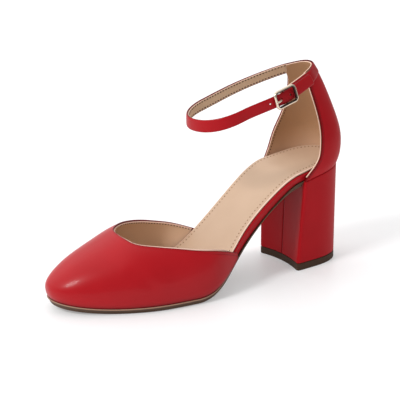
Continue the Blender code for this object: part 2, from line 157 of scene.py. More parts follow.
def half_width(along, side, inset=0.0):
    """Half width of the last's bottom on one side, drawn in all round by inset."""
    toe = rounding(TOE - inset - along, TOE_REACH, TOE_POWER)
    heel = rounding(along - SEAT_BACK - inset, HEEL_REACH, HEEL_POWER)
    return (smooth(OUTLINE, side, along) - inset) * toe * heel


def middle(along):
    """Sideways place of the foot's middle line."""
    return smooth(OUTLINE, "swing", along)


def vamp_fade(along):
    """0 at the rear ends of the vamp, 1 from the ball forward."""
    return ease((along - VAMP_REAR_SOLE) / VAMP_FADE)


lift_low, lift_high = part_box("top_lift")
BACK_X = lift_high.x / MM + HEEL_FOOT_BACK
MIDDLE_Y = lift_low.y / MM + HEEL_FOOT_SCALE * float(half_width(BREAST, "lateral"))


def place(along, across, up):
    """Shoe sizes in millimetres to the frame's metres."""
    return np.stack(np.broadcast_arrays(BACK_X - along, MIDDLE_Y + across, up), axis=-1) * MM


def put(name, data):
    """Object at the origin that shows a mesh, a curve, a light or a camera."""
    made = bpy.data.objects.new(name, data)
    bpy.context.scene.collection.objects.link(made)
    return made


def add_piece(name, shape, *materials):
    """Object with its place in its mesh, shaded smooth, from a shape that is then freed."""
    mesh = bpy.data.meshes.new(name)
    shape.to_mesh(mesh)
    shape.free()
    mesh.shade_smooth()
    for material in materials:
        mesh.materials.append(material)
    return put(name, mesh)


def grid(points, closed=False, marks=None):
    """Shape through columns and rows of points; closed joins the last column to the first."""
    columns, rows = points.shape[:2]
    shape = bmesh.new()
    layers = {name: shape.verts.layers.float.new(name) for name in marks or {}}
    verts = [shape.verts.new(point) for point in points.reshape(-1, 3)]
    for name, layer in layers.items():
        for vert, value in zip(verts, marks[name].reshape(-1)):
            vert[layer] = value
    for here in range(columns if closed else columns - 1):
        there = (here + 1) % columns
        for row in range(rows - 1):
            corners = (here, row), (there, row), (there, row + 1), (here, row + 1)
            shape.faces.new([verts[c * rows + r] for c, r in corners])
    bmesh.ops.remove_doubles(shape, verts=shape.verts, dist=MERGE)
    bmesh.ops.dissolve_degenerate(shape, edges=shape.edges, dist=MERGE / 10)
    return shape


def solid(name, points, material, marks=None):
    """Closed body through rings of points whose first and last rows are drawn to a line."""
    shape = grid(points, closed=True, marks=marks)
    bmesh.ops.recalc_face_normals(shape, faces=shape.faces)
    return add_piece(name, shape, material)


def paired(along):
    """Places along the foot shared by each point of a ring and its partner across the middle line."""
    return (along + np.roll(along[::-1], 1)) / 2


def stack_rings(ring, edge, up):
    """Rows of a layer's edge from its bottom to its top, closed along the middle line both ways."""
    rows = []
    draws, rises = column(edge, "draw"), column(edge, "rise")
    for draw, rise in zip(draws, rises):
        along, across = ring(draw)
        rows.append(place(along, across, up(along, rise)))
    for end, spot in ((0, 0), (-1, len(rows) + 1)):
        along = paired(ring(draws[end])[0])
        rows.insert(spot, place(along, middle(along), up(along, rises[end])))
    return np.stack(rows, axis=1)


def breast_line(start, lateral, medial, count):
    """Hollow line of the heel breast in plan, from its medial end to its lateral end, without the ends."""
    bow = np.linspace(1, -1, count)[1:-1]
    along = start + BREAST_TILT * bow - BREAST_HOLLOW * (1 - bow ** 2)
    return np.stack([along, bow * np.where(bow < 0, -lateral, medial)], axis=1)


def outsole_ring(draw):
    """Outline of the outsole drawn in by draw: medial side from the toe, breast end, lateral side."""
    start = HEEL_SEAT_BREAST + GAP + draw
    sides = []
    for side, sign in (("lateral", -1), ("medial", 1)):
        first = start + sign * BREAST_TILT
        along = first + (TOE - draw - first) * np.sin(np.linspace(0, math.pi / 2, SIDE_POINTS))
        inset = WALL * (1 - vamp_fade(along)) + draw
        if draw < 0:
            inset -= draw * (1 - WAIST_LIP) * (1 - vamp_fade(along))
        sides.append(np.stack([along, middle(along) + sign * half_width(along, side, inset)], axis=1))
    lateral, medial = sides
    breast = breast_line(start, lateral[0, 1], medial[0, 1], BREAST_POINTS)
    ring = np.concatenate([medial[::-1], breast, lateral[:-1]])
    return ring[:, 0], ring[:, 1]


def skive(along):
    """How much thinner the outsole is in the waist, where the board comes down to meet it."""
    rise = ease((along - SKIVE_START) / SKIVE_RISE)
    return WAIST_SKIVE * rise * ease((SKIVE_END - along) / SKIVE_FALL)


def outsole_up(along, rise):
    """Height in the outsole, counted from its underside; what rises past its top is the lip."""
    body = min(rise, SOLE_THICKNESS) * (1 - skive(along) / SOLE_THICKNESS)
    lip = max(rise - SOLE_THICKNESS, 0) * vamp_fade(along)
    return feather(along) - GAP - SOLE_THICKNESS + body + lip


class Tap:
    """A socket that shader maths can draw from: sums and products with it add Math nodes."""

    def __init__(self, tree, socket):
        self.tree, self.socket = tree, socket

    def node(self, kind, settings, sockets, out=0):
        """Adds a node of a kind: its settings first, then its sockets' values or links."""
        node = self.tree.nodes.new("ShaderNode" + kind)
        for name, value in settings.items():
            setattr(node, name, value)
        for name, value in sockets.items():
            if isinstance(value, Tap):
                self.tree.links.new(value.socket, node.inputs[name])
            else:
                node.inputs[name].default_value = value
        return Tap(self.tree, node.outputs[out])

    def sum_node(self, operation, first, second):
        """Math node on two values."""
        return self.node("Math", {"operation": operation}, {0: first, 1: second})

    def __add__(self, other):
        return self.sum_node("ADD", self, other)

    def __sub__(self, other):
        return self.sum_node("SUBTRACT", self, other)

    def __rsub__(self, other):
        return self.sum_node("SUBTRACT", other, self)

    def __mul__(self, other):
        return self.sum_node("MULTIPLY", self, other)

    __radd__, __rmul__ = __add__, __mul__

    def blend(self, none, full):
        """Colour that goes from none to full as this value goes from 0 to 1."""
        return self.node("Mix", {"data_type": "RGBA"}, {0: self, 6: none, 7: full}, out=2)

    def noise(self, scale, detail=3.0):
        """Soft noise over these coordinates, scale in lumps per metre."""
        return self.node("TexNoise", {}, {"Vector": self, "Scale": scale, "Detail": detail}, "Fac")

    def stretched(self, scale):
        """These coordinates scaled along each axis."""
        return self.node("Mapping", {}, {"Vector": self, "Scale": scale})

    def step(self, low, high):
        """Smooth rise from 0 at low to 1 at high."""
        return self.node("MapRange", {"interpolation_type": "SMOOTHSTEP"},
                         {"Value": self, "From Min": low, "From Max": high})


def finish(name, fixed):
    """A material with its fixed shader values; gives it with its shader and Object coordinates."""
    material = bpy.data.materials.new(name)
    material.use_nodes = True
    tree = material.node_tree
    shader = tree.nodes["Principled BSDF"]
    for socket, value in fixed.items():
        shader.inputs[socket].default_value = value
    return material, shader, Tap(tree, tree.nodes.new("ShaderNodeTexCoord").outputs["Object"])


def coat(shader, colour, rough, height, strength, depth):
    """Links what varies over a surface: its colour, its roughness and its relief, depth in millimetres."""
    links = colour.tree.links
    links.new(colour.socket, shader.inputs["Base Color"])
    links.new(rough.socket, shader.inputs["Roughness"])
    relief = height.node("Bump", {}, {"Strength": strength, "Distance": depth * MM, "Height": height})
    links.new(relief.socket, shader.inputs["Normal"])


def mark(spot, name):
    """A value kept on the piece's own points."""
    return spot.node("Attribute", {"attribute_name": name}, {}, "Fac")


def fit(piece, node):
    """Rides a piece on the shoe in place of a node of the frame, which it hides."""
    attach(piece, "root")
    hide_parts(node)


STAIN_DARK, STAIN_PALE_AND_HIGHLIGHT = (0.055, 0.030, 0.016, 1), (0.50, 0.29, 0.20, 1)
STAIN_STREAKS, STAIN_PATCHES, STAIN_GRAIN = (40.0, 40.0, 900.0), 220.0, 2400.0
PALE_FROM, PALE_FULL = 0.95, 1.2
sole_resin, sole_shader, spot = finish("sole_resin", {"Specular IOR Level": 0.2})
streaks = spot.stretched(STAIN_STREAKS).noise(1.0, 4.0)
# Paler stain on the lip's top, brightened as a painted highlight; dimmed in the waist below.
lip_pale_and_highlight = mark(spot, "rise").step(PALE_FROM, PALE_FULL) * (0.75 + 0.25 * spot.noise(STAIN_PATCHES))
coat(sole_shader, (lip_pale_and_highlight * 0.85 + streaks * 0.15).blend(STAIN_DARK, STAIN_PALE_AND_HIGHLIGHT), 0.42 + 0.25 * streaks,
     streaks * 0.7 + 0.3 * spot.noise(STAIN_GRAIN), strength=0.25, depth=0.12)
outsole_rows = stack_rings(outsole_ring, OUTSOLE_EDGE, outsole_up)
rises = column(OUTSOLE_EDGE, "rise") / SOLE_THICKNESS
waist_dimmed = WAIST_PALE + (1 - WAIST_PALE) * vamp_fade(outsole_ring(0.0)[0])
rise_mark = np.outer(waist_dimmed, np.concatenate([[0], rises, [1]]))
fit(solid("outsole_sole", outsole_rows, sole_resin, {"rise": rise_mark}), "outsole")

# Board: fibre insole board under the whole foot, wrapped in the red leather of the upper. The wrapping
# is pulled tight over its edge and shows as a rounded band between sock and outsole at the open waist.
BOARD = [
    ("along", "thickness"),
    (3, 5.0),
    (47, 5.4),
    (75, 6.2),
    (100, 8.4),
    (122, 6.0),
    (145, 4.0),
    (180, 3.0),
    (232, 3.0),
]
BOARD_INSET = WALL + GAP
BOARD_EDGE = [
    ("draw", "rise"),
    (2.4, 0.0),
    (1.0, 0.0),
    (0.6, 0.03),
    (0.4, 0.1),
    (0.28, 0.22),
    (0.2, 0.36),
    (0.16, 0.48),
    (0.04, 0.56),
    (-0.14, 0.64),
    (-0.22, 0.71),
    (-0.16, 0.78),
    (0.0, 0.86),
    (0.3, 0.92),
    (0.7, 0.955),
    (1.4, 0.985),
    (3.2, 1.0),
]
BOARD_FOLLOW = 0.85
LEATHER_DEEP, LEATHER_BRIGHT = (0.35, 0.0046, 0.0085, 1), (0.47, 0.0068, 0.0125, 1)
LEATHER_SHADE_AND_SEAM = (0.13, 0.002, 0.0035, 1)
LEATHER_CLOUDS, LEATHER_PORES, LEATHER_PEBBLES = 42.0, 2700.0, 1350.0


def foot_ring(inset):
    """Closed outline of the whole foot drawn in by inset, from the heel round the toe and back."""
    turn = np.linspace(0, math.pi, SIDE_POINTS)
    along = SEAT_BACK + inset + (TOE - SEAT_BACK - 2 * inset) * (1 - np.cos(turn)) / 2
    lateral = middle(along) - half_width(along, "lateral", inset)
    medial = middle(along) + half_width(along, "medial", inset)
    return np.concatenate([along, along[::-1][1:-1]]), np.concatenate([lateral, medial[::-1][1:-1]])


def board_up(along, rise):
    """Height in the board, rise 0 at its underside and 1 at its top."""
    drop = BOARD_FOLLOW * skive(along)
    return feather(along) - drop + rise * (smooth(BOARD, "thickness", along) + drop)


def red_leather(name, rough, gloss):
    """Smooth dyed calf with a fine grain and its own gloss, darker where its seam mark is high: painted
    shade in troughs, grooves, cut edges and over the strap, and darker down the heel's seam.
    """
    material, shader, spot = finish(name, {"Specular IOR Level": gloss, "Coat Weight": 0.6 * gloss,
                                           "Coat Roughness": 0.12})
    cloud = spot.noise(LEATHER_CLOUDS, 4.0)
    pores = spot.noise(LEATHER_PORES, 2.0)
    pebble = spot.node("TexVoronoi", {"feature": "SMOOTH_F1"},
                       {"Vector": spot, "Scale": LEATHER_PEBBLES, "Smoothness": 0.5}, "Distance")
    dye = (cloud * 0.8 + pores * 0.35 - 0.08).blend(LEATHER_DEEP, LEATHER_BRIGHT)
    coat(shader, mark(spot, "seam").blend(dye, LEATHER_SHADE_AND_SEAM), rough + 0.1 * cloud + 0.06 * pores,
         pebble * 0.7 + pores * 0.3, strength=0.16, depth=0.06)
    return material


wrap_leather = red_leather("wrap_leather", rough=0.36, gloss=0.13)
board_rows = stack_rings(lambda draw: foot_ring(BOARD_INSET + draw), BOARD_EDGE, board_up)
fit(solid("board_wrap", board_rows, wrap_leather), "insole_board")

# Sock: beige leather sock lining cemented on the board from heel to toe, dished under the heel. Its cut
# edge is raw and paler, and one row of thread runs round it a few millimetres in.
SOCK_SET_IN, SOCK_THICKNESS, SOCK_DISH = 0.5, 1.5, 0.9
SOCK_SPREAD, SPREAD_FROM, SPREAD_RUN = 2.2, 18.0, 14.0
SOCK_EDGE = [
    ("draw", "rise"),
    (1.2, 0.0),
    (0.3, 0.0),
    (0.06, 0.12),
    (0.0, 0.4),
    (0.0, 1.0),
    (0.1, 1.26),
    (0.35, 1.43),
    (0.75, 1.5),
    (1.15, 1.5),
    (2.4, 1.5),
]
SOCK_SPANS = (0.93, 0.82, 0.68, 0.5, 0.32, 0.15, 0.0)
SOCK_TAN, SOCK_PALE = (0.475, 0.315, 0.21, 1), (0.605, 0.435, 0.31, 1)
CUT_EDGE, THREAD_TAN = (0.93, 0.66, 0.53, 1), (0.33, 0.185, 0.105, 1)
HIDE_CLOUDS, HIDE_PATCHES, HIDE_HAIR, THREAD_TWIST = 36.0, 11.0, 2100.0, 3500.0
SOCK_ROW, SOCK_ROW_SINK, SOCK_RIM, SOCK_UNDER = 3.6, 0.05, 0.5, 0.5
STITCH_SIZES, SOCK_STITCH = ("Spacing", "Length", "Thickness"), (2.9, 1.2, 0.85)
BEAD_SIDES, BEAD_RINGS = 8, 6


def unit(ways):
    """Directions of length 1."""
    return ways / np.linalg.norm(ways, axis=-1, keepdims=True)


def sock_ring(draw):
    """Outline of the sock, let out at the heel to meet the lining of the quarter."""
    along, across = foot_ring(BOARD_INSET + SOCK_SET_IN + draw)
    spread = SOCK_SPREAD * (1 - ease((along - SPREAD_FROM) / SPREAD_RUN))
    out = unit(np.stack([along - BREAST, across], axis=1))
    return along + spread * out[:, 0], across + spread * out[:, 1]


def sock_up(along, rise):
    """Height in the sock, counted from its underside."""
    return board_up(along, 1.0) + GAP + rise


def sock_points():
    """Rows of the sock: underside, edge, and its dished top drawn to the middle line."""
    rows = list(stack_rings(sock_ring, SOCK_EDGE, sock_up).transpose(1, 0, 2)[:-1])
    along, across = sock_ring(SOCK_EDGE[-1][0])
    line = paired(along)
    for span in SOCK_SPANS:
        dish = SOCK_DISH * (1 - span ** 2) ** 2
        here = line + span * (along - line)
        rows.append(place(here, middle(line) + span * (across - middle(line)),
                          sock_up(here, SOCK_THICKNESS - dish)))
    return np.stack(rows, axis=1)


def beige_leather(name, dark, pale, rough):
    """Undyed lining leather: cloudy tan with a fine hair grain and faint rubbed patches."""
    material, shader, spot = finish(name, {"Specular IOR Level": 0.35})
    cloud = spot.noise(HIDE_CLOUDS, 5.0)
    hair = spot.noise(HIDE_HAIR, 3.0)
    patch = spot.noise(HIDE_PATCHES, 2.0).step(0.35, 0.7)
    hide = (cloud * 0.55 + hair * 0.2 + patch * 0.35 - 0.1).blend(dark, pale)
    coat(shader, mark(spot, "edge").blend(hide, CUT_EDGE), rough + 0.12 * hair, hair * 0.6 + cloud * 0.4,
         strength=0.22, depth=0.08)
    return material


def thread(name, colour):
    """Twisted sewing thread."""
    material, shader, spot = finish(name, {"Specular IOR Level": 0.3})
    twist = spot.noise(THREAD_TWIST, 2.0)
    darker = tuple(0.6 * part for part in colour[:3]) + (1,)
    coat(shader, twist.blend(darker, colour), 0.55 + 0.3 * twist, twist, strength=0.4, depth=0.05)
    return material


def stitch_tree():
    """Geometry nodes that lay a row of stitches along a path."""
    tree = bpy.data.node_groups.new("stitch_row", "GeometryNodeTree")
    face = tree.interface
    face.new_socket("Path", in_out="INPUT", socket_type="NodeSocketGeometry")
    for size in STITCH_SIZES:
        face.new_socket(size, in_out="INPUT", socket_type="NodeSocketFloat")
    face.new_socket("Thread", in_out="INPUT", socket_type="NodeSocketMaterial")
    face.new_socket("Stitches", in_out="OUTPUT", socket_type="NodeSocketGeometry")
    add = tree.nodes.new
    given, made = add("NodeGroupInput"), add("NodeGroupOutput")
    spots = add("GeometryNodeCurveToPoints")
    spots.mode = "LENGTH"
    bead = add("GeometryNodeMeshUVSphere")
    bead.inputs["Segments"].default_value = BEAD_SIDES
    bead.inputs["Rings"].default_value = BEAD_RINGS
    bead.inputs["Radius"].default_value = 0.5
    turn = add("FunctionNodeAlignRotationToVector")
    turn.axis = "X"
    size, laid = add("ShaderNodeCombineXYZ"), add("GeometryNodeInstanceOnPoints")
    real, shade, dress = (add("GeometryNode" + kind) for kind in
                          ("RealizeInstances", "SetShadeSmooth", "SetMaterial"))
    for source, target in (
        (given.outputs["Path"], spots.inputs["Curve"]),
        (given.outputs["Spacing"], spots.inputs["Length"]),
        (spots.outputs["Tangent"], turn.inputs["Vector"]),
        (given.outputs["Length"], size.inputs["X"]),
        (given.outputs["Thickness"], size.inputs["Y"]),
        (given.outputs["Thickness"], size.inputs["Z"]),
        (spots.outputs["Points"], laid.inputs["Points"]),
        (bead.outputs["Mesh"], laid.inputs["Instance"]),
        (turn.outputs["Rotation"], laid.inputs["Rotation"]),
        (size.outputs["Vector"], laid.inputs["Scale"]),
        (laid.outputs["Instances"], shade.inputs["Geometry"]),
        (shade.outputs["Geometry"], real.inputs["Geometry"]),
        (real.outputs["Geometry"], dress.inputs["Geometry"]),
        (given.outputs["Thread"], dress.inputs["Material"]),
        (dress.outputs["Geometry"], made.inputs["Stitches"]),
    ):
        tree.links.new(source, target)
    return tree


STITCHES = stitch_tree()


def path(name, route, closed):
    """Curve object through a route in metres."""
    curve = bpy.data.curves.new(name, "CURVE")
    curve.dimensions = "3D"
    spline = curve.splines.new("POLY")
    spline.points.add(len(route) - 1)
    for point, co in zip(spline.points, route):
        point.co = (*co, 1)
    spline.use_cyclic_u = closed
    return put(name + "_path", curve)


def made_mesh(piece):
    """The mesh that an object's curve and modifiers make."""
    return bpy.data.meshes.new_from_object(piece.evaluated_get(bpy.context.evaluated_depsgraph_get()))


def sew(name, route, material, stitch, closed=False):
    """Row of stitches along a route in metres, ridden on the shoe; stitch is spacing, length, thickness."""
    guide = path(name, route, closed)
    rule = guide.modifiers.new("stitches", "NODES")
    rule.node_group = STITCHES
    given = {size: value * MM for size, value in zip(STITCH_SIZES, stitch)}
    given["Thread"] = material
    for item in STITCHES.interface.items_tree:
        if item.name in given:
            rule[item.identifier] = given[item.name]
    mesh = made_mesh(guide)
    bpy.data.objects.remove(guide)
    mesh.materials.clear()
    mesh.materials.append(material)
    piece = put(name, mesh)
    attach(piece, "root")


sock_leather = beige_leather("sock_leather", SOCK_TAN, SOCK_PALE, rough=0.5)
sock_rows = sock_points()
pale_rows = [float(draw < SOCK_RIM and rise > SOCK_UNDER) for draw, rise in SOCK_EDGE[1:]]
sock_edge = [0.0] + pale_rows + [0.0] * len(SOCK_SPANS)
fit(solid("sock_lining", sock_rows, sock_leather, {"edge": np.tile(sock_edge, (len(sock_rows), 1))}),
    "sock")
tan_thread = thread("tan_thread", THREAD_TAN)
row_along, row_across = sock_ring(SOCK_ROW)
sock_row = place(row_along, row_across, sock_up(row_along, SOCK_THICKNESS - SOCK_ROW_SINK))
sew("sock_stitches", sock_row, tan_thread, SOCK_STITCH, closed=True)

# Vamp: one piece of red calf lasted over the toe, cut low at the throat and down to the sole at both
# sides of the waist. Its top edge is skived and folded in, which leaves a soft trough below the edge.
# The trough, the cut edge and the bottom of the vamp by the sole are darkened as painted shade.
BULGE, EQUATOR, REAR_EQUATOR, SECTION_POWER = 2.2, 6.5, 0.6, 2.2
SKIRT_TURN = math.radians(70)
RIDGE = [
    ("along", "rise"),
    (90, 60.0),
    (120, 52.0),
    (150, 43.5),
    (176, 38.0),
    (200, 27.5),
    (215, 21.6),
    (234, 12.5),
]
RIDGE_REACH, RIDGE_POWER = 37.0, 2.2
TOPLINE = [
    ("angle", "lateral", "medial"),
    (1, 101.8, 101.7),
    (5, 105.4, 105.3),
    (12, 112.1, 111.9),
    (25, 126.0, 124.8),
    (40, 148.0, 140.5),
    (55, 170.7, 158.3),
    (70, 178.1, 172.3),
    (82, 179.7, 178.5),
    (90, 179.8, 179.8),
]
DENSE, TINY = 1500, 1e-6
VAMP_COLUMNS, SKIRT_ROWS, DOME_ROWS, EDGE_ROWS, EDGE_SHARE = 220, 9, 72, 20, 0.08
END_TRIM = 3
LEATHER, BEVEL_STEPS, BEVEL_ANGLE = 1.1, 3, math.radians(50)
FOLD_AT, FOLD_REACH, FOLD_DEPTH = 2.0, 0.4, 0.14
ROLL_AT, ROLL_REACH, ROLL_RISE = 0.7, 0.7, 0.08
FOLD_LOW, FOLD_FULL, FOLD_GONE = 0.1, 10.0, 45.0
SEAM_SHADE, EDGE_SHADE, EDGE_REACH, GROOVE_SHADE, GROOVE_REACH = 0.5, 0.85, 0.7, 1.0, 2.6
FAIR_REACH, FAIR_DEPTH, FAIR_FROM, FAIR_TO = 9.0, 12.0, 165.0, 140.0
CREASES = [
    ("along", "across", "up", "to_along", "to_across", "to_up", "depth", "reach"),
    (182, -30, 28, 173, -37, 20, 0.35, 4.5),
    (171, -36, 26, 163, -40, 18, -0.25, 6.0),
    (178, 36, 26, 168, 41, 17, 0.30, 5.0),
]


def hump(distance, reach):
    """Soft ridge of height 1 that dies away over a reach."""
    return np.exp(-(distance / reach) ** 2)


def run_along(curve):
    """Length run along a curve at each of its points."""
    return np.concatenate([[0], np.cumsum(np.linalg.norm(np.diff(curve, axis=0), axis=1))])


def even(curve, count):
    """Points at even distances along a dense curve."""
    length = run_along(curve)
    at = np.linspace(0, length[-1], count)
    return np.stack([np.interp(at, length, curve[:, k]) for k in range(curve.shape[1])], axis=1)


def vamp_width(along, side):
    """Half width of the vamp at its widest line."""
    return half_width(along, side, -BULGE * vamp_fade(along))


def vamp_equator(along):
    """Height of the vamp's widest line over the feather line."""
    return REAR_EQUATOR + (EQUATOR - REAR_EQUATOR) * vamp_fade(along)


def vamp_height(along, across):
    """Height of the vamp over a point of the plan inside its widest line."""
    off = across - middle(along)
    width = np.where(off < 0, vamp_width(along, "lateral"), vamp_width(along, "medial"))
    ratio = np.clip(np.abs(off) / np.maximum(width, TINY), 0, 1)
    ridge = smooth(RIDGE, "rise", along) * rounding(TOE + BULGE - along, RIDGE_REACH, RIDGE_POWER)
    return feather(along) + vamp_equator(along) + ridge * (1 - ratio ** SECTION_POWER) ** (1 / SECTION_POWER)


def vamp_side(side, count):
    """Widest line and topline of one side in plan, from the rear end to the front."""
    sign = -1 if side == "lateral" else 1
    along = VAMP_REAR_SOLE + (TOE + BULGE - VAMP_REAR_SOLE) * np.sin(np.linspace(0, math.pi / 2, DENSE))
    rim = np.stack([along, middle(along) + sign * vamp_width(along, side)], axis=1)
    angle = np.linspace(TOPLINE[1][0], TOPLINE[-1][0], DENSE)
    along = smooth(TOPLINE, side, angle)
    reach = np.abs(np.cos(np.radians(angle))) ** (2 / SECTION_POWER)
    top = np.stack([along, middle(along) + sign * vamp_width(along, side) * reach], axis=1)
    return even(rim, count), even(top, count)


def vamp_surface():
    """Outer face of the vamp: columns from rear end to rear end, rows from feather line to topline."""
    lateral, medial = (vamp_side(side, VAMP_COLUMNS // 2) for side in ("lateral", "medial"))
    rim = np.concatenate([lateral[0], medial[0][::-1][1:]])
    top = np.concatenate([lateral[1], medial[1][::-1][1:]])
    run = np.gradient(rim, axis=0)
    outward = unit(np.stack([run[:, 1], -run[:, 0]], axis=1))
    heart = np.array([(TOE + VAMP_REAR_SOLE) / 2, 0])
    outward *= np.sign(np.sum(outward * (rim - heart), axis=1, keepdims=True))
    rows = []
    for turn in np.linspace(SKIRT_TURN, 0, SKIRT_ROWS, endpoint=False):
        inward = BULGE * vamp_fade(rim[:, :1]) * (1 - math.cos(turn)) / (1 - math.cos(SKIRT_TURN))
        plan = rim - outward * inward
        rise = vamp_equator(plan[:, 0]) * (1 - math.sin(turn) / math.sin(SKIRT_TURN))
        rows.append(place(plan[:, 0], plan[:, 1], feather(plan[:, 0]) + rise))
    dome = (1 - EDGE_SHARE) * np.linspace(0, 1, DOME_ROWS, endpoint=False) ** SECTION_POWER
    for share in np.concatenate([dome, np.linspace(1 - EDGE_SHARE, 1, EDGE_ROWS)]):
        plan = rim + (top - rim) * share
        height = vamp_height(plan[:, 0], plan[:, 1])
        if share == 0:
            height = feather(plan[:, 0]) + vamp_equator(plan[:, 0])
        rows.append(place(plan[:, 0], plan[:, 1], height))
    return np.stack(rows, axis=1)


def outward_of(points):
    """Unit directions out of a grid that wraps round the foot."""
    out = unit(np.cross(np.gradient(points, axis=0), np.gradient(points, axis=1)))
    return out * np.sign(np.sum(out * (points - points.mean(axis=(0, 1)))))


def from_edge(points):
    """Distance of each point from the last row, down its column, in millimetres."""
    steps = np.linalg.norm(np.diff(points, axis=1), axis=2)[:, ::-1]
    down = np.concatenate([np.zeros((len(points), 1)), np.cumsum(steps, axis=1)], axis=1)
    return down[:, ::-1] / MM


def off_edge(points):
    """Shortest distance of each point from the curve of the last row, in millimetres."""
    curve = even(points[:, -1], DENSE)
    return np.stack([np.linalg.norm(row[:, None] - curve[None], axis=2).min(axis=1)
                     for row in points.transpose(1, 0, 2)], axis=1) / MM


def faired(points):
    """The face with the waves taken out of its top edge behind the ball."""
    edge = points[:, -1]
    apart = np.arange(len(edge))[:, None] - np.arange(len(edge))[None, :]
    weight = hump(apart, FAIR_REACH)
    near_end = np.minimum(np.arange(len(edge)), np.arange(len(edge))[::-1])
    weight *= np.abs(apart) <= near_end[:, None]
    fair = (weight @ edge[:, 2]) / weight.sum(axis=1)
    along = BACK_X - edge[:, 0] / MM
    lift = (fair - edge[:, 2]) * ease((FAIR_FROM - along) / (FAIR_FROM - FAIR_TO))
    moved = points.copy()
    moved[..., 2] += lift[:, None] * np.exp(-from_edge(points) / FAIR_DEPTH)
    return moved


def creased(points):
    """The face with soft troughs and swellings where the leather has given beside the ball."""
    relief = np.zeros(points.shape[:2])
    for along, across, up, to_along, to_across, to_up, depth, reach in CREASES[1:]:
        start, end = place(along, across, up), place(to_along, to_across, to_up)
        share = np.clip((points - start) @ (end - start) / np.dot(end - start, end - start), 0, 1)
        off = np.linalg.norm(points - start - share[..., None] * (end - start), axis=2) / MM
        relief -= depth * hump(off, reach)
    return points + outward_of(points) * relief[..., None] * MM


def fold_strength(points):
    """How sharp the fold's trough is at each column: full at both ends of the edge, faint between."""
    edge = points[:, -1][None]
    left = np.minimum(from_edge(edge)[0], from_edge(edge[:, ::-1])[0][::-1])
    return (FOLD_LOW + (1 - FOLD_LOW) * (1 - ease((left - FOLD_FULL) / (FOLD_GONE - FOLD_FULL))))[:, None]


def folded(points, down, trough):
    """Outer face with the roll of a folded edge and the trough below it."""
    relief = ROLL_RISE * hump(down - ROLL_AT, ROLL_REACH) - FOLD_DEPTH * trough
    return points + outward_of(points) * relief[..., None] * MM


def frozen(piece):
    """Turns a piece's live modifiers into its mesh."""
    mesh = made_mesh(piece)
    piece.modifiers.clear()
    piece.data = mesh
    return piece


def ply(name, points, thickness, materials, offset=-1, marks=None, rim=0, bevel=0.0):
    """One ply of leather on a grid of points, turned away from the foot; bevel rounds its cut edges."""
    shape = grid(points, marks=marks)
    heart = sum((f.calc_center_median() for f in shape.faces), Vector()) / len(shape.faces)
    if sum(f.normal.dot(f.calc_center_median() - heart) * f.calc_area() for f in shape.faces) < 0:
        bmesh.ops.reverse_faces(shape, faces=shape.faces)
    piece = add_piece(name, shape, *materials)
    wall = piece.modifiers.new("wall", "SOLIDIFY")
    wall.thickness = thickness * MM
    wall.offset = offset
    wall.material_offset_rim = rim
    if bevel:
        edge = piece.modifiers.new("edge", "BEVEL")
        edge.width = bevel * MM
        edge.segments = BEVEL_STEPS
        edge.limit_method = "ANGLE"
        edge.angle_limit = BEVEL_ANGLE
    return frozen(piece)


vamp_leather = red_leather("vamp_leather", rough=0.28, gloss=0.16)
vamp_face = creased(faired(vamp_surface()))
vamp_down = off_edge(vamp_face)
vamp_trough = hump(vamp_down - FOLD_AT, FOLD_REACH) * fold_strength(vamp_face)
# Painted shade: darker in the fold's trough, along the cut top edge and down by the sole's lip.
vamp_painted_shade = SEAM_SHADE * vamp_trough + EDGE_SHADE * hump(vamp_down, EDGE_REACH)
vamp_painted_shade += GROOVE_SHADE * hump(from_edge(vamp_face[:, ::-1])[:, ::-1], GROOVE_REACH)
vamp_span = slice(END_TRIM, -END_TRIM)
fit(ply("vamp_leather", folded(vamp_face, vamp_down, vamp_trough)[vamp_span], LEATHER, [vamp_leather],
        marks={"seam": vamp_painted_shade[vamp_span]}), "vamp")

# Vamp lining: beige leather inside the vamp, let up to the folded edge and sewn there by a row of
# dark thread. Its cut edge shows as a pale line along the throat.
THREAD_DARK = (0.075, 0.032, 0.022, 1)
LINING, LINING_BEVEL, PLY_GAP = 0.8, 0.2, 0.05
LINING_RISE, LINING_DROP, LINING_TRIM, LINING_TAPER = 1.2, 0.2, 7, 12
SLIDE_REACH, RIM_FULL, RIM_GONE = 5.0, 0.75, 1.15
# The vamp lining's tan is a brighter copy of the sock's leather, painted light against the shade inside the
# throat.
VAMP_LIT_TAN, VAMP_LIT_PALE = (0.80, 0.55, 0.37, 1), (0.92, 0.70, 0.51, 1)
CUT_SHADE, CUT_FIBRES = (0.78, 0.50, 0.39, 1), 1800.0
VAMP_ROW, LINING_STITCH = 1.25, (2.3, 1.5, 0.62)


def inside(points, depth):
    """The grid moved in towards the foot by a depth in millimetres."""
    return points - outward_of(points) * depth * MM


def raised(points, rise):
    """The grid slid up past its last row by each column's rise in millimetres, which dies away below."""
    run = unit(np.gradient(points[:, -1], axis=0))
    way = points[:, -1] - points[:, -2]
    way = unit(way - run * np.sum(run * way, axis=1, keepdims=True))
    slide = np.broadcast_to(rise, len(points))[:, None] * np.exp(-off_edge(points) / SLIDE_REACH)
    return points + way[:, None] * slide[..., None] * MM


def beside_edge(points, distance):
    """Points of each column at a distance in millimetres from the curve of the last row."""
    down = off_edge(points)[:, ::-1]
    return np.array([[np.interp(distance, far, row[::-1, k]) for k in range(3)]
                     for far, row in zip(down, points)])


def pale_rim(points):
    """Mark of the pale cut edge along the last row of a lining."""
    return 1 - ease((off_edge(points) - RIM_FULL) / (RIM_GONE - RIM_FULL))


def raw_edge(name):
    """Cut edge of lining leather, pale and fibrous."""
    material, shader, spot = finish(name, {"Specular IOR Level": 0.2})
    fibre = spot.noise(CUT_FIBRES, 4.0)
    coat(shader, fibre.blend(CUT_SHADE, CUT_EDGE), 0.7 + 0.2 * fibre, fibre, strength=0.3, depth=0.1)
    return material


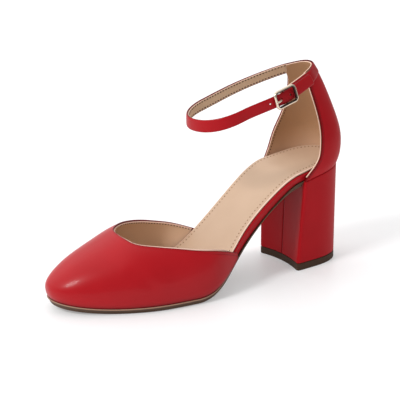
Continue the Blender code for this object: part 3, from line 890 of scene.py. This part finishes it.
vamp_lit_lining = beige_leather("vamp_lit_lining", VAMP_LIT_TAN, VAMP_LIT_PALE, rough=0.55)
cut_edge = raw_edge("cut_edge")
dark_thread = thread("dark_thread", THREAD_DARK)
medial_share = ease(np.linspace(-1, 2, len(vamp_face)))
lining_rise = LINING_RISE - (LINING_RISE + LINING_DROP) * medial_share
lining_rise *= ease((np.arange(len(vamp_face)) - LINING_TRIM) / LINING_TAPER)
lining_span = slice(LINING_TRIM, -LINING_TRIM)
vamp_inside = raised(inside(vamp_face, LEATHER + PLY_GAP)[:, ::2], lining_rise)[lining_span]
fit(ply("vamp_lining", vamp_inside, LINING, [vamp_lit_lining, cut_edge], rim=1, bevel=LINING_BEVEL,
        marks={"edge": pale_rim(vamp_inside)}), "vamp")
vamp_row = beside_edge(inside(vamp_face, WALL), VAMP_ROW)[lining_span]
sew("vamp_lining_stitches", vamp_row, dark_thread, LINING_STITCH)

# Quarter: red calf counter lasted round the back of the heel, tall behind the ankle and swept down to
# the heel breast on both sides. Its front edges are folded like the vamp's and topstitched in red.
# The fold's trough and the cut front edges are darkened as painted shade.
QUARTER = [
    ("level", "back", "reach", "scale", "lateral", "medial"),
    (0.00, 3.0, 28.0, 1.000, 44.4, 45.2),
    (0.06, 1.3, 28.0, 1.050, 40.4, 43.0),
    (0.14, 0.1, 29.0, 1.088, 34.4, 39.4),
    (0.28, 0.1, 32.0, 1.104, 31.2, 35.0),
    (0.45, 3.2, 38.0, 1.050, 29.6, 29.8),
    (0.65, 8.7, 46.0, 0.970, 30.7, 27.6),
    (0.83, 14.6, 56.0, 0.945, 33.6, 28.8),
    (1.00, 21.4, 66.0, 0.940, 36.5, 31.5),
]
QUARTER_RISE, QUARTER_CROWDING, STRAP_SLOPE = 73.8, 1.3, 0.32
QUARTER_COLUMNS, QUARTER_PACKING, QUARTER_ROWS = 190, 0.88, 64
QUARTER_LEVELS = np.linspace(0, 1, QUARTER_ROWS) ** QUARTER_CROWDING
BINDING_AT, BINDING_REACH = 1.5, 0.3
THREAD_RED = (0.22, 0.006, 0.01, 1)
TOPSTITCH_AT, TOPSTITCH, TOPSTITCH_SPAN = 1.5, (2.3, 1.5, 0.3), slice(4, -8)


def top_edge(along):
    """Height of the quarter's and strap's top edge."""
    return SEAT_HEIGHT + QUARTER_RISE - STRAP_SLOPE * (along - column(QUARTER, "back")[-1])


def back_ring(along, side, level):
    """Half width of the back of the last at a level."""
    behind = along - smooth(QUARTER, "back", level)
    width = smooth(QUARTER, "scale", level) * smooth(OUTLINE, side, behind + SEAT_BACK)
    return width * rounding(behind, smooth(QUARTER, "reach", level), HEEL_POWER)


def quarter_surface():
    """Outer face of the quarter: rows from the seat up, columns closer together at the front edges."""
    reach = QUARTER_PACKING * math.pi / 2
    turn = (np.sin(np.linspace(-reach, reach, QUARTER_COLUMNS)) / math.sin(reach))[:, None]
    level = QUARTER_LEVELS[None, :]
    back = smooth(QUARTER, "back", level)
    points = []
    for side, sign in (("lateral", -1), ("medial", 1)):
        front = smooth(QUARTER, side, level)
        along = back + (front - back) * (1 - np.cos(np.abs(turn) * math.pi / 2))
        up = (1 - level) * feather(along) + level * top_edge(along)
        points.append(place(along, sign * back_ring(along, side, level), up))
    return np.where(turn[..., None] <= 0, points[0], points[1])


def from_front(points):
    """Distance of each point from the nearer front edge, in millimetres."""
    across = points.transpose(1, 0, 2)
    return np.minimum(off_edge(across), off_edge(across[:, ::-1])[:, ::-1]).T


def front_rows(points, distance):
    """Lines beside the two front edges, from the seat up."""
    across = points.transpose(1, 0, 2)
    return (("lateral", beside_edge(across[:, ::-1], distance)), ("medial", beside_edge(across, distance)))


quarter_face = quarter_surface()
quarter_down = from_front(quarter_face)
quarter_trough = hump(quarter_down - BINDING_AT, BINDING_REACH)
# Painted shade: darker in the fold's trough and along the cut front edges.
quarter_painted_shade = SEAM_SHADE * quarter_trough + EDGE_SHADE * hump(quarter_down, EDGE_REACH)
quarter_skin = folded(quarter_face, quarter_down, quarter_trough)[:, :-1]
quarter_leather = red_leather("quarter_leather", rough=0.38, gloss=0.06)
fit(ply("quarter_leather", quarter_skin, LEATHER, [quarter_leather],
        marks={"seam": quarter_painted_shade[:, :-1]}), "quarter")
red_thread = thread("red_thread", THREAD_RED)
for side, row in front_rows(quarter_face, TOPSTITCH_AT):
    sew(f"quarter_{side}_topstitch", row[TOPSTITCH_SPAN], red_thread, TOPSTITCH)

# Quarter lining: beige leather inside the quarter, its pale cut edge level with the folded front edges
# and a row of dark thread just behind them.
LATERAL_RISE, MEDIAL_RISE, HIDDEN_ROWS = 0.4, -0.3, 4
COVER_RISE, COVER_FROM, COVER_RUN = 1.2, 0.86, 0.03
SEAT_PALE, SEAT_REACH = 0.16, 0.3
LINING_ROW, LINING_ROW_SPAN = 1.9, slice(4, -12)
# The quarter lining's tan is a darker copy of the sock's leather, painted shade for the lining inside the
# heel.
LINING_SHADED_TAN, LINING_SHADED_PALE = (0.36, 0.19, 0.092, 1), (0.49, 0.28, 0.15, 1)
quarter_shaded_lining = beige_leather("quarter_shaded_lining", LINING_SHADED_TAN, LINING_SHADED_PALE, rough=0.55)
quarter_inside = inside(quarter_face, LEATHER + PLY_GAP)
medial_rise = MEDIAL_RISE + COVER_RISE * ease((QUARTER_LEVELS - COVER_FROM) / COVER_RUN)
lining_across = raised(quarter_inside.transpose(1, 0, 2), medial_rise)
lining_across = raised(lining_across[:, ::-1], LATERAL_RISE)[:, ::-1]
# Paler towards the seat.
paler_near_seat = np.tile(SEAT_PALE * (1 - ease(QUARTER_LEVELS / SEAT_REACH)), (QUARTER_COLUMNS, 1))
fit(ply("quarter_lining", lining_across.transpose(1, 0, 2)[:, HIDDEN_ROWS:], LINING,
        [quarter_shaded_lining, cut_edge], rim=1, bevel=LINING_BEVEL, marks={"edge": paler_near_seat[:, HIDDEN_ROWS:]}),
    "quarter")
for side, row in front_rows(inside(quarter_face, WALL), LINING_ROW):
    sew(f"quarter_{side}_lining_stitches", row[LINING_ROW_SPAN], dark_thread, LINING_STITCH)

# Ankle strap: a band of red calf backed with beige lining, sewn along both edges. It starts under the
# buckle, runs round the back of the quarter and the ankle, and its tail passes over its own start.
STRAP_FRONT = 118.0
STRAP_REACH, STRAP_POWER = 22.0, 2.0
STRAP_WIDTH, STRAP_SPARE, STRAP_THICKNESS, STRAP_CROWN = 8.0, 0.25, 2.0, 0.18
STRAP_WAVES = [
    ("turn", "rise", "reach"),
    (4.25, 1.15, 0.5),
    (4.85, -0.5, 0.2),
]
STRAP_LOW = 1 - STRAP_WIDTH / QUARTER_RISE
STRAP_MIDDLE = (1 + STRAP_LOW) / 2
STRAP_RAMP = (98.0, 73.0)
BUCKLE_AT, CHAPE_END, TAIL_END = 64.3, 62.1, 36.5
STRAP_COLUMNS, STRAP_ROWS = 440, 13
TIP_REACH, TIP_POWER, TIP_BLUNT = 3.0, 3.0, 0.4
STRAP_ROUND, ROUND_POWER = 0.35, 14
HUG_FROM, HUG_TO, HUG_OUTER, HUG_INNER = 34.0, 24.0, 0.2, -0.5
# STRAP_SHADE darkens the whole strap's leather as painted shade.
STRAP_ROW, STRAP_STITCH, STRAP_ROW_SPAN, STRAP_SHADE = 1.6, (2.4, 1.6, 0.85), slice(4, -6), 0.12
STRAP_LININGS = [
    ("name", "side", "end", "set", "shift"),
    ("start", "lateral", 35.0, 0.25, 0.6),
    ("band", "medial", 30.0, 0.7, 0.0),
]
# The strap lining's tan is a brighter copy of the sock's leather, as painted light.
STRAP_LIT_TAN, STRAP_LIT_PALE = (0.57, 0.375, 0.235, 1), (0.74, 0.54, 0.37, 1)
TURN_STEP = 0.01
HOLE, HOLE_PITCH, PRONG_HOLE = 1.9, 9.2, 3.4
TAIL_SPAN, PUNCH_DEPTH, PUNCH_SIDES = (90.0, 45.0), 2.6, 24


def strap_turn(along):
    """Loop angle from the back at which the strap has come this far forward."""
    back = smooth(QUARTER, "back", STRAP_MIDDLE)
    return math.acos(1 - 2 * (along - back) / (STRAP_FRONT - back))


def tail_turn(along):
    """Loop angle at which the strap, past its front, has come this far back on the lateral side."""
    return 2 * math.pi - strap_turn(along)


def strap_loop(turn, level):
    """A point of the strap's loop: turn 0 at the back, pi at the front, beyond pi on the lateral side."""
    back = smooth(QUARTER, "back", level)
    along = back + (STRAP_FRONT - back) * (1 - np.cos(turn)) / 2
    lateral = np.sin(turn) < 0
    ring = np.where(lateral, -back_ring(along, "lateral", level), back_ring(along, "medial", level))
    across = ring * rounding(STRAP_FRONT - along, STRAP_REACH, STRAP_POWER)
    wave = sum(rise * hump(turn - at, reach) for at, rise, reach in STRAP_WAVES[1:])
    return np.stack([along, across, top_edge(along) - (1 - level) * QUARTER_RISE + wave], axis=-1)


def strap_normal(turn, level):
    """Outward direction of the strap, level with the floor."""
    run = strap_loop(turn + TURN_STEP, level) - strap_loop(turn - TURN_STEP, level)
    return unit(np.stack([-run[..., 1], run[..., 0], 0 * run[..., 2]], axis=-1))


def strap_point(turn, level, outward):
    """A point outside the strap's loop."""
    return strap_loop(turn, level) + np.asarray(outward)[..., None] * strap_normal(turn, level)


def strap_lift(turn):
    """How far the strap stands off its loop, rising to pass over its own sewn end."""
    start, stop = (tail_turn(edge) for edge in STRAP_RAMP)
    return GAP + (STRAP_THICKNESS + GAP) * ease((turn - start) / (stop - start))


STRAP_TURNS = -strap_turn(CHAPE_END), tail_turn(TAIL_END)


def strap_band(outward, margin=0.0, rows=STRAP_ROWS, turns=STRAP_TURNS, shift=0.0):
    """Grid of the strap at a distance out of its inner face, less a margin at its edges, shifted up."""
    turn = np.linspace(*turns, STRAP_COLUMNS)[:, None]
    spine = place(*np.moveaxis(strap_point(turn, STRAP_MIDDLE, strap_lift(turn)), -1, 0))[:, 0]
    left = from_edge(spine[None])[0][:, None]
    share = np.sin(np.linspace(-math.pi / 2, math.pi / 2, rows))[None, :]
    half = STRAP_WIDTH / 2 + STRAP_SPARE - margin
    half *= rounding(left + TIP_BLUNT, TIP_REACH, TIP_POWER)
    level = STRAP_MIDDLE + (shift + share * half) / QUARTER_RISE
    point = strap_point(turn, level, strap_lift(turn) + outward(turn, share))
    return place(point[..., 0], point[..., 1], point[..., 2])


def strap_hug(turn):
    """1 round the back, where the strap is skived and let into the quarter's top, 0 away from it."""
    along = strap_loop(turn, STRAP_MIDDLE)[..., 0]
    return ease((HUG_FROM - along) / (HUG_FROM - HUG_TO))


def strap_face(turn, share):
    """Outer face of the strap's leather over its inner face, crowned and rounded at its edges."""
    crown = STRAP_CROWN * share ** 4 + STRAP_ROUND * np.abs(share) ** ROUND_POWER
    return STRAP_THICKNESS + (HUG_OUTER - STRAP_THICKNESS) * strap_hug(turn) - crown


def strap_back(turn, share):
    """Inner face of the strap's leather."""
    ply_in = LINING + PLY_GAP
    return ply_in + (HUG_INNER - ply_in) * strap_hug(turn) + 0 * share


def strap_lining_face(turn, share):
    """Inner face of the strap's lining, on the strap's inner face."""
    return 0 * turn * share


def strap_tube():
    """Rings round the strap's leather, drawn to a line at both ends."""
    face, back = strap_band(strap_face), strap_band(strap_back)
    ring = np.concatenate([face, back[:, ::-1]], axis=1)
    heart = (ring + ring[:, ::-1]) / 2
    return np.concatenate([heart[:1], ring, heart[-1:]]).transpose(1, 0, 2)


def tail_spot(ahead):
    """Middle of the tail's outer face a distance ahead of the buckle's centre, and the way out of it."""
    turns = np.linspace(*(tail_turn(end) for end in TAIL_SPAN), DENSE)
    run = run_along(strap_point(turns, STRAP_MIDDLE, strap_lift(turns) + STRAP_THICKNESS))
    turn = np.interp(np.interp(tail_turn(BUCKLE_AT), turns, run) - ahead, run, turns)
    return (strap_point(turn, STRAP_MIDDLE, strap_lift(turn) + STRAP_THICKNESS),
            strap_normal(turn, STRAP_MIDDLE))


def punch(pieces):
    """Cuts the three prong holes of the tail through both plies."""
    punches = bmesh.new()
    for ahead in (PRONG_HOLE + HOLE_PITCH, PRONG_HOLE, PRONG_HOLE - HOLE_PITCH):
        spot, out = tail_spot(ahead)
        way = Vector((-out[0], out[1], out[2]))
        here = Vector(place(*(spot - out * STRAP_THICKNESS / 2)))
        turned = Matrix.Translation(here) @ way.to_track_quat("Z", "Y").to_matrix().to_4x4()
        bmesh.ops.create_cone(punches, cap_ends=True, segments=PUNCH_SIDES, radius1=HOLE / 2 * MM,
                              radius2=HOLE / 2 * MM, depth=PUNCH_DEPTH * MM, matrix=turned)
    cutter = add_piece("punches", punches)
    for piece in pieces:
        cut = piece.modifiers.new("holes", "BOOLEAN")
        cut.object = cutter
        frozen(piece)
    bpy.data.objects.remove(cutter)


strap_leather = red_leather("strap_leather", rough=0.36, gloss=0.1)
strap_lit_lining = beige_leather("strap_lit_lining", STRAP_LIT_TAN, STRAP_LIT_PALE, rough=0.55)
strap_points = strap_tube()
# Painted shade: the whole strap a little darker than the same leather elsewhere, darker on its cut edges and
# back face.
strap_painted_shade = np.full(strap_points.shape[:2], STRAP_SHADE)
strap_painted_shade[STRAP_ROWS:] = strap_painted_shade[(0, STRAP_ROWS - 1), :] = EDGE_SHADE
strap_outer = solid("strap_leather_band", strap_points, strap_leather, {"seam": strap_painted_shade})
strap_linings = []
for name, side, end, set_in, shift in STRAP_LININGS[1:]:
    turns = (STRAP_TURNS[0], -strap_turn(end)) if side == "lateral" else (strap_turn(end), STRAP_TURNS[1])
    inner = strap_band(strap_lining_face, set_in, turns=turns, shift=shift)
    strap_linings.append(ply(f"strap_lining_{name}", inner, LINING, [strap_lit_lining, cut_edge],
                             offset=1, rim=1, bevel=LINING_BEVEL))
    lower, _, upper = strap_band(strap_lining_face, STRAP_ROW, rows=3, turns=turns).transpose(1, 0, 2)
    for edge, row in (("upper", upper), ("lower", lower)):
        sew(f"strap_{name}_{edge}_stitches", row[STRAP_ROW_SPAN], dark_thread, STRAP_STITCH)
punch([strap_outer] + strap_linings)
fit(strap_outer, "ankle_strap")
for piece in strap_linings:
    fit(piece, "ankle_strap")

# Buckle: a rounded frame of drawn wire with a staple bar under the tail, plated pale gold and polished.
# Its prong swings on the bar, comes up through a hole of the tail and rests on the frame.
# The frame's inner side is painted near black as shade and dark reflection.
BUCKLE_LENGTH, BUCKLE_WIDTH, BUCKLE_CORNER, BUCKLE_BOW, BUCKLE_RAISE = 20.4, 13.2, 2.4, 0.6, 0.7
WIRE, BAR, BAR_HALF = 1.1, 0.65, 4.9
WIRE_ENDS, WIRE_STEPS = ((0, 0.45), (1, 0.85), (-2, 0.85), (-1, 0.45)), 5
LOOP_LONG, LOOP_WIDE = BUCKLE_LENGTH / 2 - WIRE, BUCKLE_WIDTH / 2 - WIRE
INNER_FROM, INNER_REACH = -0.1, 0.35
CORNER_POINTS, LOOP_POINTS, STAPLE_POINTS = 12, 121, 40
PRONG = [
    ("along", "out"),
    (0.0, -2.3),
    (1.6, -2.35),
    (2.7, -2.0),
    (3.4, -0.9),
    (3.9, 0.5),
    (4.8, 1.6),
    (6.4, 2.4),
    (8.2, 2.8),
    (9.8, 2.6),
]
PRONG_POINTS = 60
GOLD_DEEP, GOLD_PALE, GOLD_SHADOW = (0.66, 0.52, 0.38, 1), (0.86, 0.76, 0.63, 1), (0.045, 0.03, 0.025, 1)
TARNISH_CLOUDS, BRUSH_MARKS = 320.0, 5200.0


def buckle_place():
    """Centre of the buckle on the strap's outer face, and its directions along, across and outward."""
    turn = tail_turn(BUCKLE_AT)
    lift = strap_lift(turn) + STRAP_THICKNESS
    here = strap_point(turn, STRAP_MIDDLE, lift)
    along = unit(strap_point(turn - TURN_STEP, STRAP_MIDDLE, lift) - here)
    across = here - strap_point(turn, STRAP_LOW, lift)
    across = unit(across - along * np.dot(across, along))
    out = np.cross(along, across)
    return here, along, across, out * np.sign(np.dot(out, strap_normal(turn, STRAP_MIDDLE)))


def buckle_route(points):
    """Points given along, across and out of the buckle, in the frame's metres."""
    here, along, across, out = buckle_place()
    return [place(*(here + p[0] * along + p[1] * across + p[2] * out)) for p in points]


def wire(name, route, radius, closed, material):
    """Round metal wire along a route, as a closed mesh with domed ends."""
    guide = path(name, route, closed)
    curve = guide.data
    curve.bevel_depth = radius * MM
    curve.bevel_resolution = WIRE_STEPS
    curve.use_fill_caps = not closed
    if not closed:
        for end, size in WIRE_ENDS:
            curve.splines[0].points[end].radius = size
    shape = bmesh.new()
    shape.from_mesh(made_mesh(guide))
    bpy.data.objects.remove(guide)
    bmesh.ops.remove_doubles(shape, verts=shape.verts, dist=MERGE)
    bmesh.ops.recalc_face_normals(shape, faces=shape.faces)
    return add_piece(name, shape, material)


def sizes_of(points):
    """Shoe sizes in millimetres of points in the frame's metres."""
    return (points / MM - [BACK_X, MIDDLE_Y, 0]) * [-1, 1, 1]


def shade_inside(piece):
    """Marks the inner side of the frame, painted near black as shade and dark reflection against the strap.
    """
    here, along, across, _ = buckle_place()
    spots = sizes_of(np.array([vert.co for vert in piece.data.vertices])) - here
    x = np.abs(spots @ along) - (LOOP_LONG - BUCKLE_CORNER)
    y = np.abs(spots @ across - BUCKLE_RAISE) - (LOOP_WIDE - BUCKLE_CORNER)
    beyond = np.hypot(np.maximum(x, 0), np.maximum(y, 0)) + np.minimum(np.maximum(x, y), 0) - BUCKLE_CORNER
    inner = piece.data.attributes.new("inner", "FLOAT", "POINT")
    inner.data.foreach_set("value", ease((-beyond - INNER_FROM) / INNER_REACH))
    return piece


plate, plate_shader, spot = finish("pale_gold", {"Metallic": 1.0})
tarnish = spot.noise(TARNISH_CLOUDS, 4.0)
brushed = spot.noise(BRUSH_MARKS, 2.0)
# Pale gold plating with painted shade and dark reflection on the frame's inner side.
plating_and_shade = mark(spot, "inner").blend(tarnish.blend(GOLD_DEEP, GOLD_PALE), GOLD_SHADOW)
coat(plate_shader, plating_and_shade, 0.12 + 0.1 * tarnish + 0.05 * brushed, brushed, strength=0.06, depth=0.02)
level = GAP + WIRE
loop = []
for corner, (sx, sy) in enumerate(((1, 1), (-1, 1), (-1, -1), (1, -1))):
    for turn in np.linspace(0, math.pi / 2, CORNER_POINTS) + corner * math.pi / 2:
        loop.append((sx * (LOOP_LONG - BUCKLE_CORNER) + BUCKLE_CORNER * math.cos(turn),
                     sy * (LOOP_WIDE - BUCKLE_CORNER) + BUCKLE_CORNER * math.sin(turn)))
loop = even(np.array(loop + loop[:1]), LOOP_POINTS)[:-1]
loop = [(x, y + BUCKLE_RAISE, level - BUCKLE_BOW * (1 - (x / LOOP_LONG) ** 2)) for x, y in loop]
fit(shade_inside(wire("buckle_loop", buckle_route(loop), WIRE, True, plate)), "buckle_frame")
under = -STRAP_THICKNESS - GAP - BAR
staple = [(0, side * BAR_HALF, out) for side, out in
          ((1, level - WIRE - BUCKLE_BOW), (1, under), (-1, under), (-1, level - WIRE - BUCKLE_BOW))]
ends = [(0, side * LOOP_WIDE + BUCKLE_RAISE, level - BUCKLE_BOW) for side in (1, -1)]
staple = even(np.array(ends[:1] + staple + ends[1:]), STAPLE_POINTS)
fit(wire("buckle_bar", buckle_route(staple), BAR, False, plate), "buckle_frame")
prong_at = np.linspace(PRONG[1][0], PRONG[-1][0], PRONG_POINTS)
prong = [(at, 0, smooth(PRONG, "out", at)) for at in prong_at]
fit(wire("buckle_tongue", buckle_route(prong), BAR, False, plate), "buckle_prong")

# Heel: a block heel of light core, covered in the red calf of the upper. The cover is drawn round from
# the back and closed by a seam down the middle of the hollow breast.
HEEL_FOOT_BREAST, LIFT_HEIGHT = 49.5, 5.4
HEEL_SIDE_POINTS, HEEL_BREAST_POINTS, HEEL_ROWS = 150, 121, 48
CORNER_PASSES = 9
CAP_DRAW = 0.7
SEAM_DEPTH, SEAM_REACH, HEEL_SEAM_SHADE = 0.4, 0.5, 0.75
HEEL_EDGE, HEEL_EDGE_ROWS, HEEL_SUPPORT = 0.5, 5, 1.3


def heel_ring(level):
    """Plan of the heel, level 0 at its foot and 1 at the seat, with softened breast corners."""
    back = HEEL_FOOT_BACK + (SEAT_BACK - HEEL_FOOT_BACK) * level
    front = HEEL_FOOT_BREAST + (HEEL_SEAT_BREAST - HEEL_FOOT_BREAST) * level
    scale = HEEL_FOOT_SCALE + (1 - HEEL_FOOT_SCALE) * level
    share = 1 - np.cos(np.linspace(0, math.pi / 2, HEEL_SIDE_POINTS))
    seat = SEAT_BACK + (BREAST - SEAT_BACK) * share
    lateral_along = back + (front - BREAST_TILT - back) * share
    medial_along = back + (front + BREAST_TILT - back) * share
    lateral = np.stack([lateral_along, -scale * half_width(seat, "lateral")], axis=1)
    medial = np.stack([medial_along, scale * half_width(seat, "medial")], axis=1)
    breast = breast_line(front, lateral[-1, 1], medial[-1, 1], HEEL_BREAST_POINTS)
    ring = np.concatenate([medial, breast, lateral[::-1][:-1]])
    for _ in range(CORNER_PASSES):
        ring = sum(np.roll(ring, shift, axis=0) for shift in range(-2, 3)) / 5
    return ring


def heel_rows(shares, level_of, up, seam):
    """Rows of a heel layer, its first and last drawn to the middle line; inset rounds its edges."""
    rows = []
    for share, inset in shares:
        ring = heel_ring(level_of(share))
        heart = np.array([BREAST / 2, 0])
        ring = heart + (ring - heart) * (1 - inset / (BREAST / 2))
        on_breast = ring[:, 0] > BREAST - 2 * BREAST_HOLLOW
        ring[:, 0] -= seam * hump(ring[:, 1], SEAM_REACH) * on_breast
        rows.append(place(ring[:, 0], ring[:, 1], up(ring[:, 0], share)))
    for end, at in ((0, 0), (-1, len(rows) + 1)):
        line = paired(heel_ring(level_of(shares[end][0]))[:, 0])
        along = BREAST / 2 + (line - BREAST / 2) * CAP_DRAW
        rows.insert(at, place(along, 0, up(along, shares[end][0])))
    return np.stack(rows, axis=1)


def rounded_shares(height, rows):
    """Shares of a layer's height with the inset of its rounded edges."""
    turn = np.linspace(0, math.pi / 2, HEEL_EDGE_ROWS)
    low = [(HEEL_EDGE * (1 - math.cos(t)) / height, HEEL_EDGE * (1 - math.sin(t))) for t in turn]
    body = [(s, 0.0) for s in np.linspace(HEEL_EDGE / height, 1 - HEEL_EDGE / height, rows)[1:-1]]
    top = [(1 - s, inset) for s, inset in low[::-1]]
    return [(0.0, HEEL_SUPPORT)] + low + body + top + [(1.0, HEEL_SUPPORT)]


def heel_up(along, share):
    """Height in the heel's cover, share 0 on the lift and 1 under the seat."""
    foot = LIFT_HEIGHT + GAP
    return foot + share * (feather(along) - GAP - foot)


heel_leather = red_leather("heel_leather", rough=0.38, gloss=0.06)
heel_points = heel_rows(rounded_shares(SEAT_HEIGHT - LIFT_HEIGHT, HEEL_ROWS), lambda share: share, heel_up,
                        SEAM_DEPTH)
heel_spots = sizes_of(heel_points)
on_breast = heel_spots[..., 0] > BREAST - 2 * BREAST_HOLLOW
heel_seam = HEEL_SEAM_SHADE * hump(heel_spots[..., 1], SEAM_REACH) * on_breast
fit(solid("heel_cover", heel_points, heel_leather, {"seam": heel_seam}), "heel_block")

# Top lift: the wearing piece under the heel, a slab of dark brown rubber nailed and cemented on and
# trimmed flush with the cover.
LIFT_ROWS = 8
RUBBER_DARK, RUBBER_PALE = (0.036, 0.019, 0.010, 1), (0.085, 0.046, 0.028, 1)
TRIM_STREAKS, RUBBER_SPECKS = (60.0, 60.0, 1500.0), 500.0
lift_rubber, lift_shader, spot = finish("lift_rubber", {"Specular IOR Level": 0.15})
trimmed = spot.stretched(TRIM_STREAKS).noise(1.0, 3.0)
coat(lift_shader, (trimmed * 0.6 + 0.4 * spot.noise(RUBBER_SPECKS)).blend(RUBBER_DARK, RUBBER_PALE),
     0.5 + 0.25 * trimmed, trimmed, strength=0.3, depth=0.1)
lift_points = heel_rows(rounded_shares(LIFT_HEIGHT, LIFT_ROWS), lambda share: 0.0,
                        lambda along, share: share * LIFT_HEIGHT + 0 * along, 0.0)
fit(solid("heel_lift", lift_points, lift_rubber), "top_lift")

# Studio: a plain pale floor, soft light from the upper left, and a bright surround that is dimmer on the
# right and on the camera's side. A long lens, a little rolled, looks at the shoe at the photo's angle.
FLOOR_HALF, FLOOR_GLOW, PAPER_CLOUDS = 12000.0, 0.3, 160.0
FLOOR_SHADE, FLOOR_WHITE = (0.675, 0.675, 0.68, 1), (0.68, 0.68, 0.685, 1)
AIM = (115.0, 0.0, 60.0)
CAMERA_TURN, CAMERA_RISE, CAMERA_ROLL = (math.radians(a) for a in (28.44, 17.16, 1.4))
CAMERA_DISTANCE, LENS = 683.1, 86.37
SURROUND, HORIZON, OVERHEAD = (1.0, 1.0, 1.0, 1), (0.88, 0.88, 0.88, 1), (1.5, 1.5, 1.5, 1)
CAMERA_SIDE, RIGHT_SIDE = (0.35, 0.35, 0.35, 1), (0.4, 0.4, 0.4, 1)
OVERHEAD_WAY, RIGHT_WAY = (-0.3, 0.25, 0.92), (0.98, -0.2, 0.0)
KEY_FROM, KEY_STRENGTH, KEY_ANGLE = Vector((-0.73, -0.13, 0.67)), 1.65, math.radians(16)

floor_shape = bmesh.new()
bmesh.ops.create_grid(floor_shape, x_segments=1, y_segments=1, size=FLOOR_HALF * MM)
floor_paper, floor_shader, spot = finish("floor_paper", {"Specular IOR Level": 0.3,
                                                         "Emission Color": (1, 1, 1, 1),
                                                         "Emission Strength": FLOOR_GLOW})
paper = spot.noise(PAPER_CLOUDS, 2.0)
coat(floor_shader, paper.blend(FLOOR_SHADE, FLOOR_WHITE), 0.35 + 0.1 * paper, paper,
     strength=0.02, depth=0.05)
add_piece("floor", floor_shape, floor_paper)

scene = bpy.context.scene
scene.view_settings.view_transform = "Standard"
world = bpy.data.worlds.new("surround")
world.use_nodes = True
sky = world.node_tree
way = Tap(sky, sky.nodes.new("ShaderNodeTexCoord").outputs["Generated"])
back = Vector((-math.sin(CAMERA_TURN) * math.cos(CAMERA_RISE),
               -math.cos(CAMERA_TURN) * math.cos(CAMERA_RISE), math.sin(CAMERA_RISE)))
GLOWS = [
    ("side", "none", "full", "colour"),
    (OVERHEAD_WAY, 0.4, 0.95, OVERHEAD),
    (RIGHT_WAY, 0.4, 0.9, RIGHT_SIDE),
    (back, 0.2, 0.8, CAMERA_SIDE),
]
glow = HORIZON
for side, none, full, colour in GLOWS[1:]:
    facing = way.node("VectorMath", {"operation": "DOT_PRODUCT"}, {0: way, 1: side}, "Value")
    glow = facing.step(none, full).blend(glow, colour)
seen = Tap(sky, sky.nodes.new("ShaderNodeLightPath").outputs["Is Camera Ray"])
sky.links.new(seen.blend(glow, SURROUND).socket, sky.nodes["Background"].inputs["Color"])
scene.world = world

key = bpy.data.lights.new("key", "SUN")
key.energy, key.angle = KEY_STRENGTH, KEY_ANGLE
put("key", key).rotation_euler = KEY_FROM.to_track_quat("Z", "Y").to_euler()

aim = Vector(place(*AIM))
camera = bpy.data.cameras.new("camera")
camera.lens = LENS
level_right = Vector((math.cos(CAMERA_TURN), -math.sin(CAMERA_TURN), 0))
level_up = back.cross(level_right)
right = level_right * math.cos(CAMERA_ROLL) - level_up * math.sin(CAMERA_ROLL)
turned = Matrix((right, back.cross(right), back)).transposed().to_4x4()
scene.camera = put("camera", camera)
scene.camera.matrix_world = Matrix.Translation(aim + back * CAMERA_DISTANCE * MM) @ turned
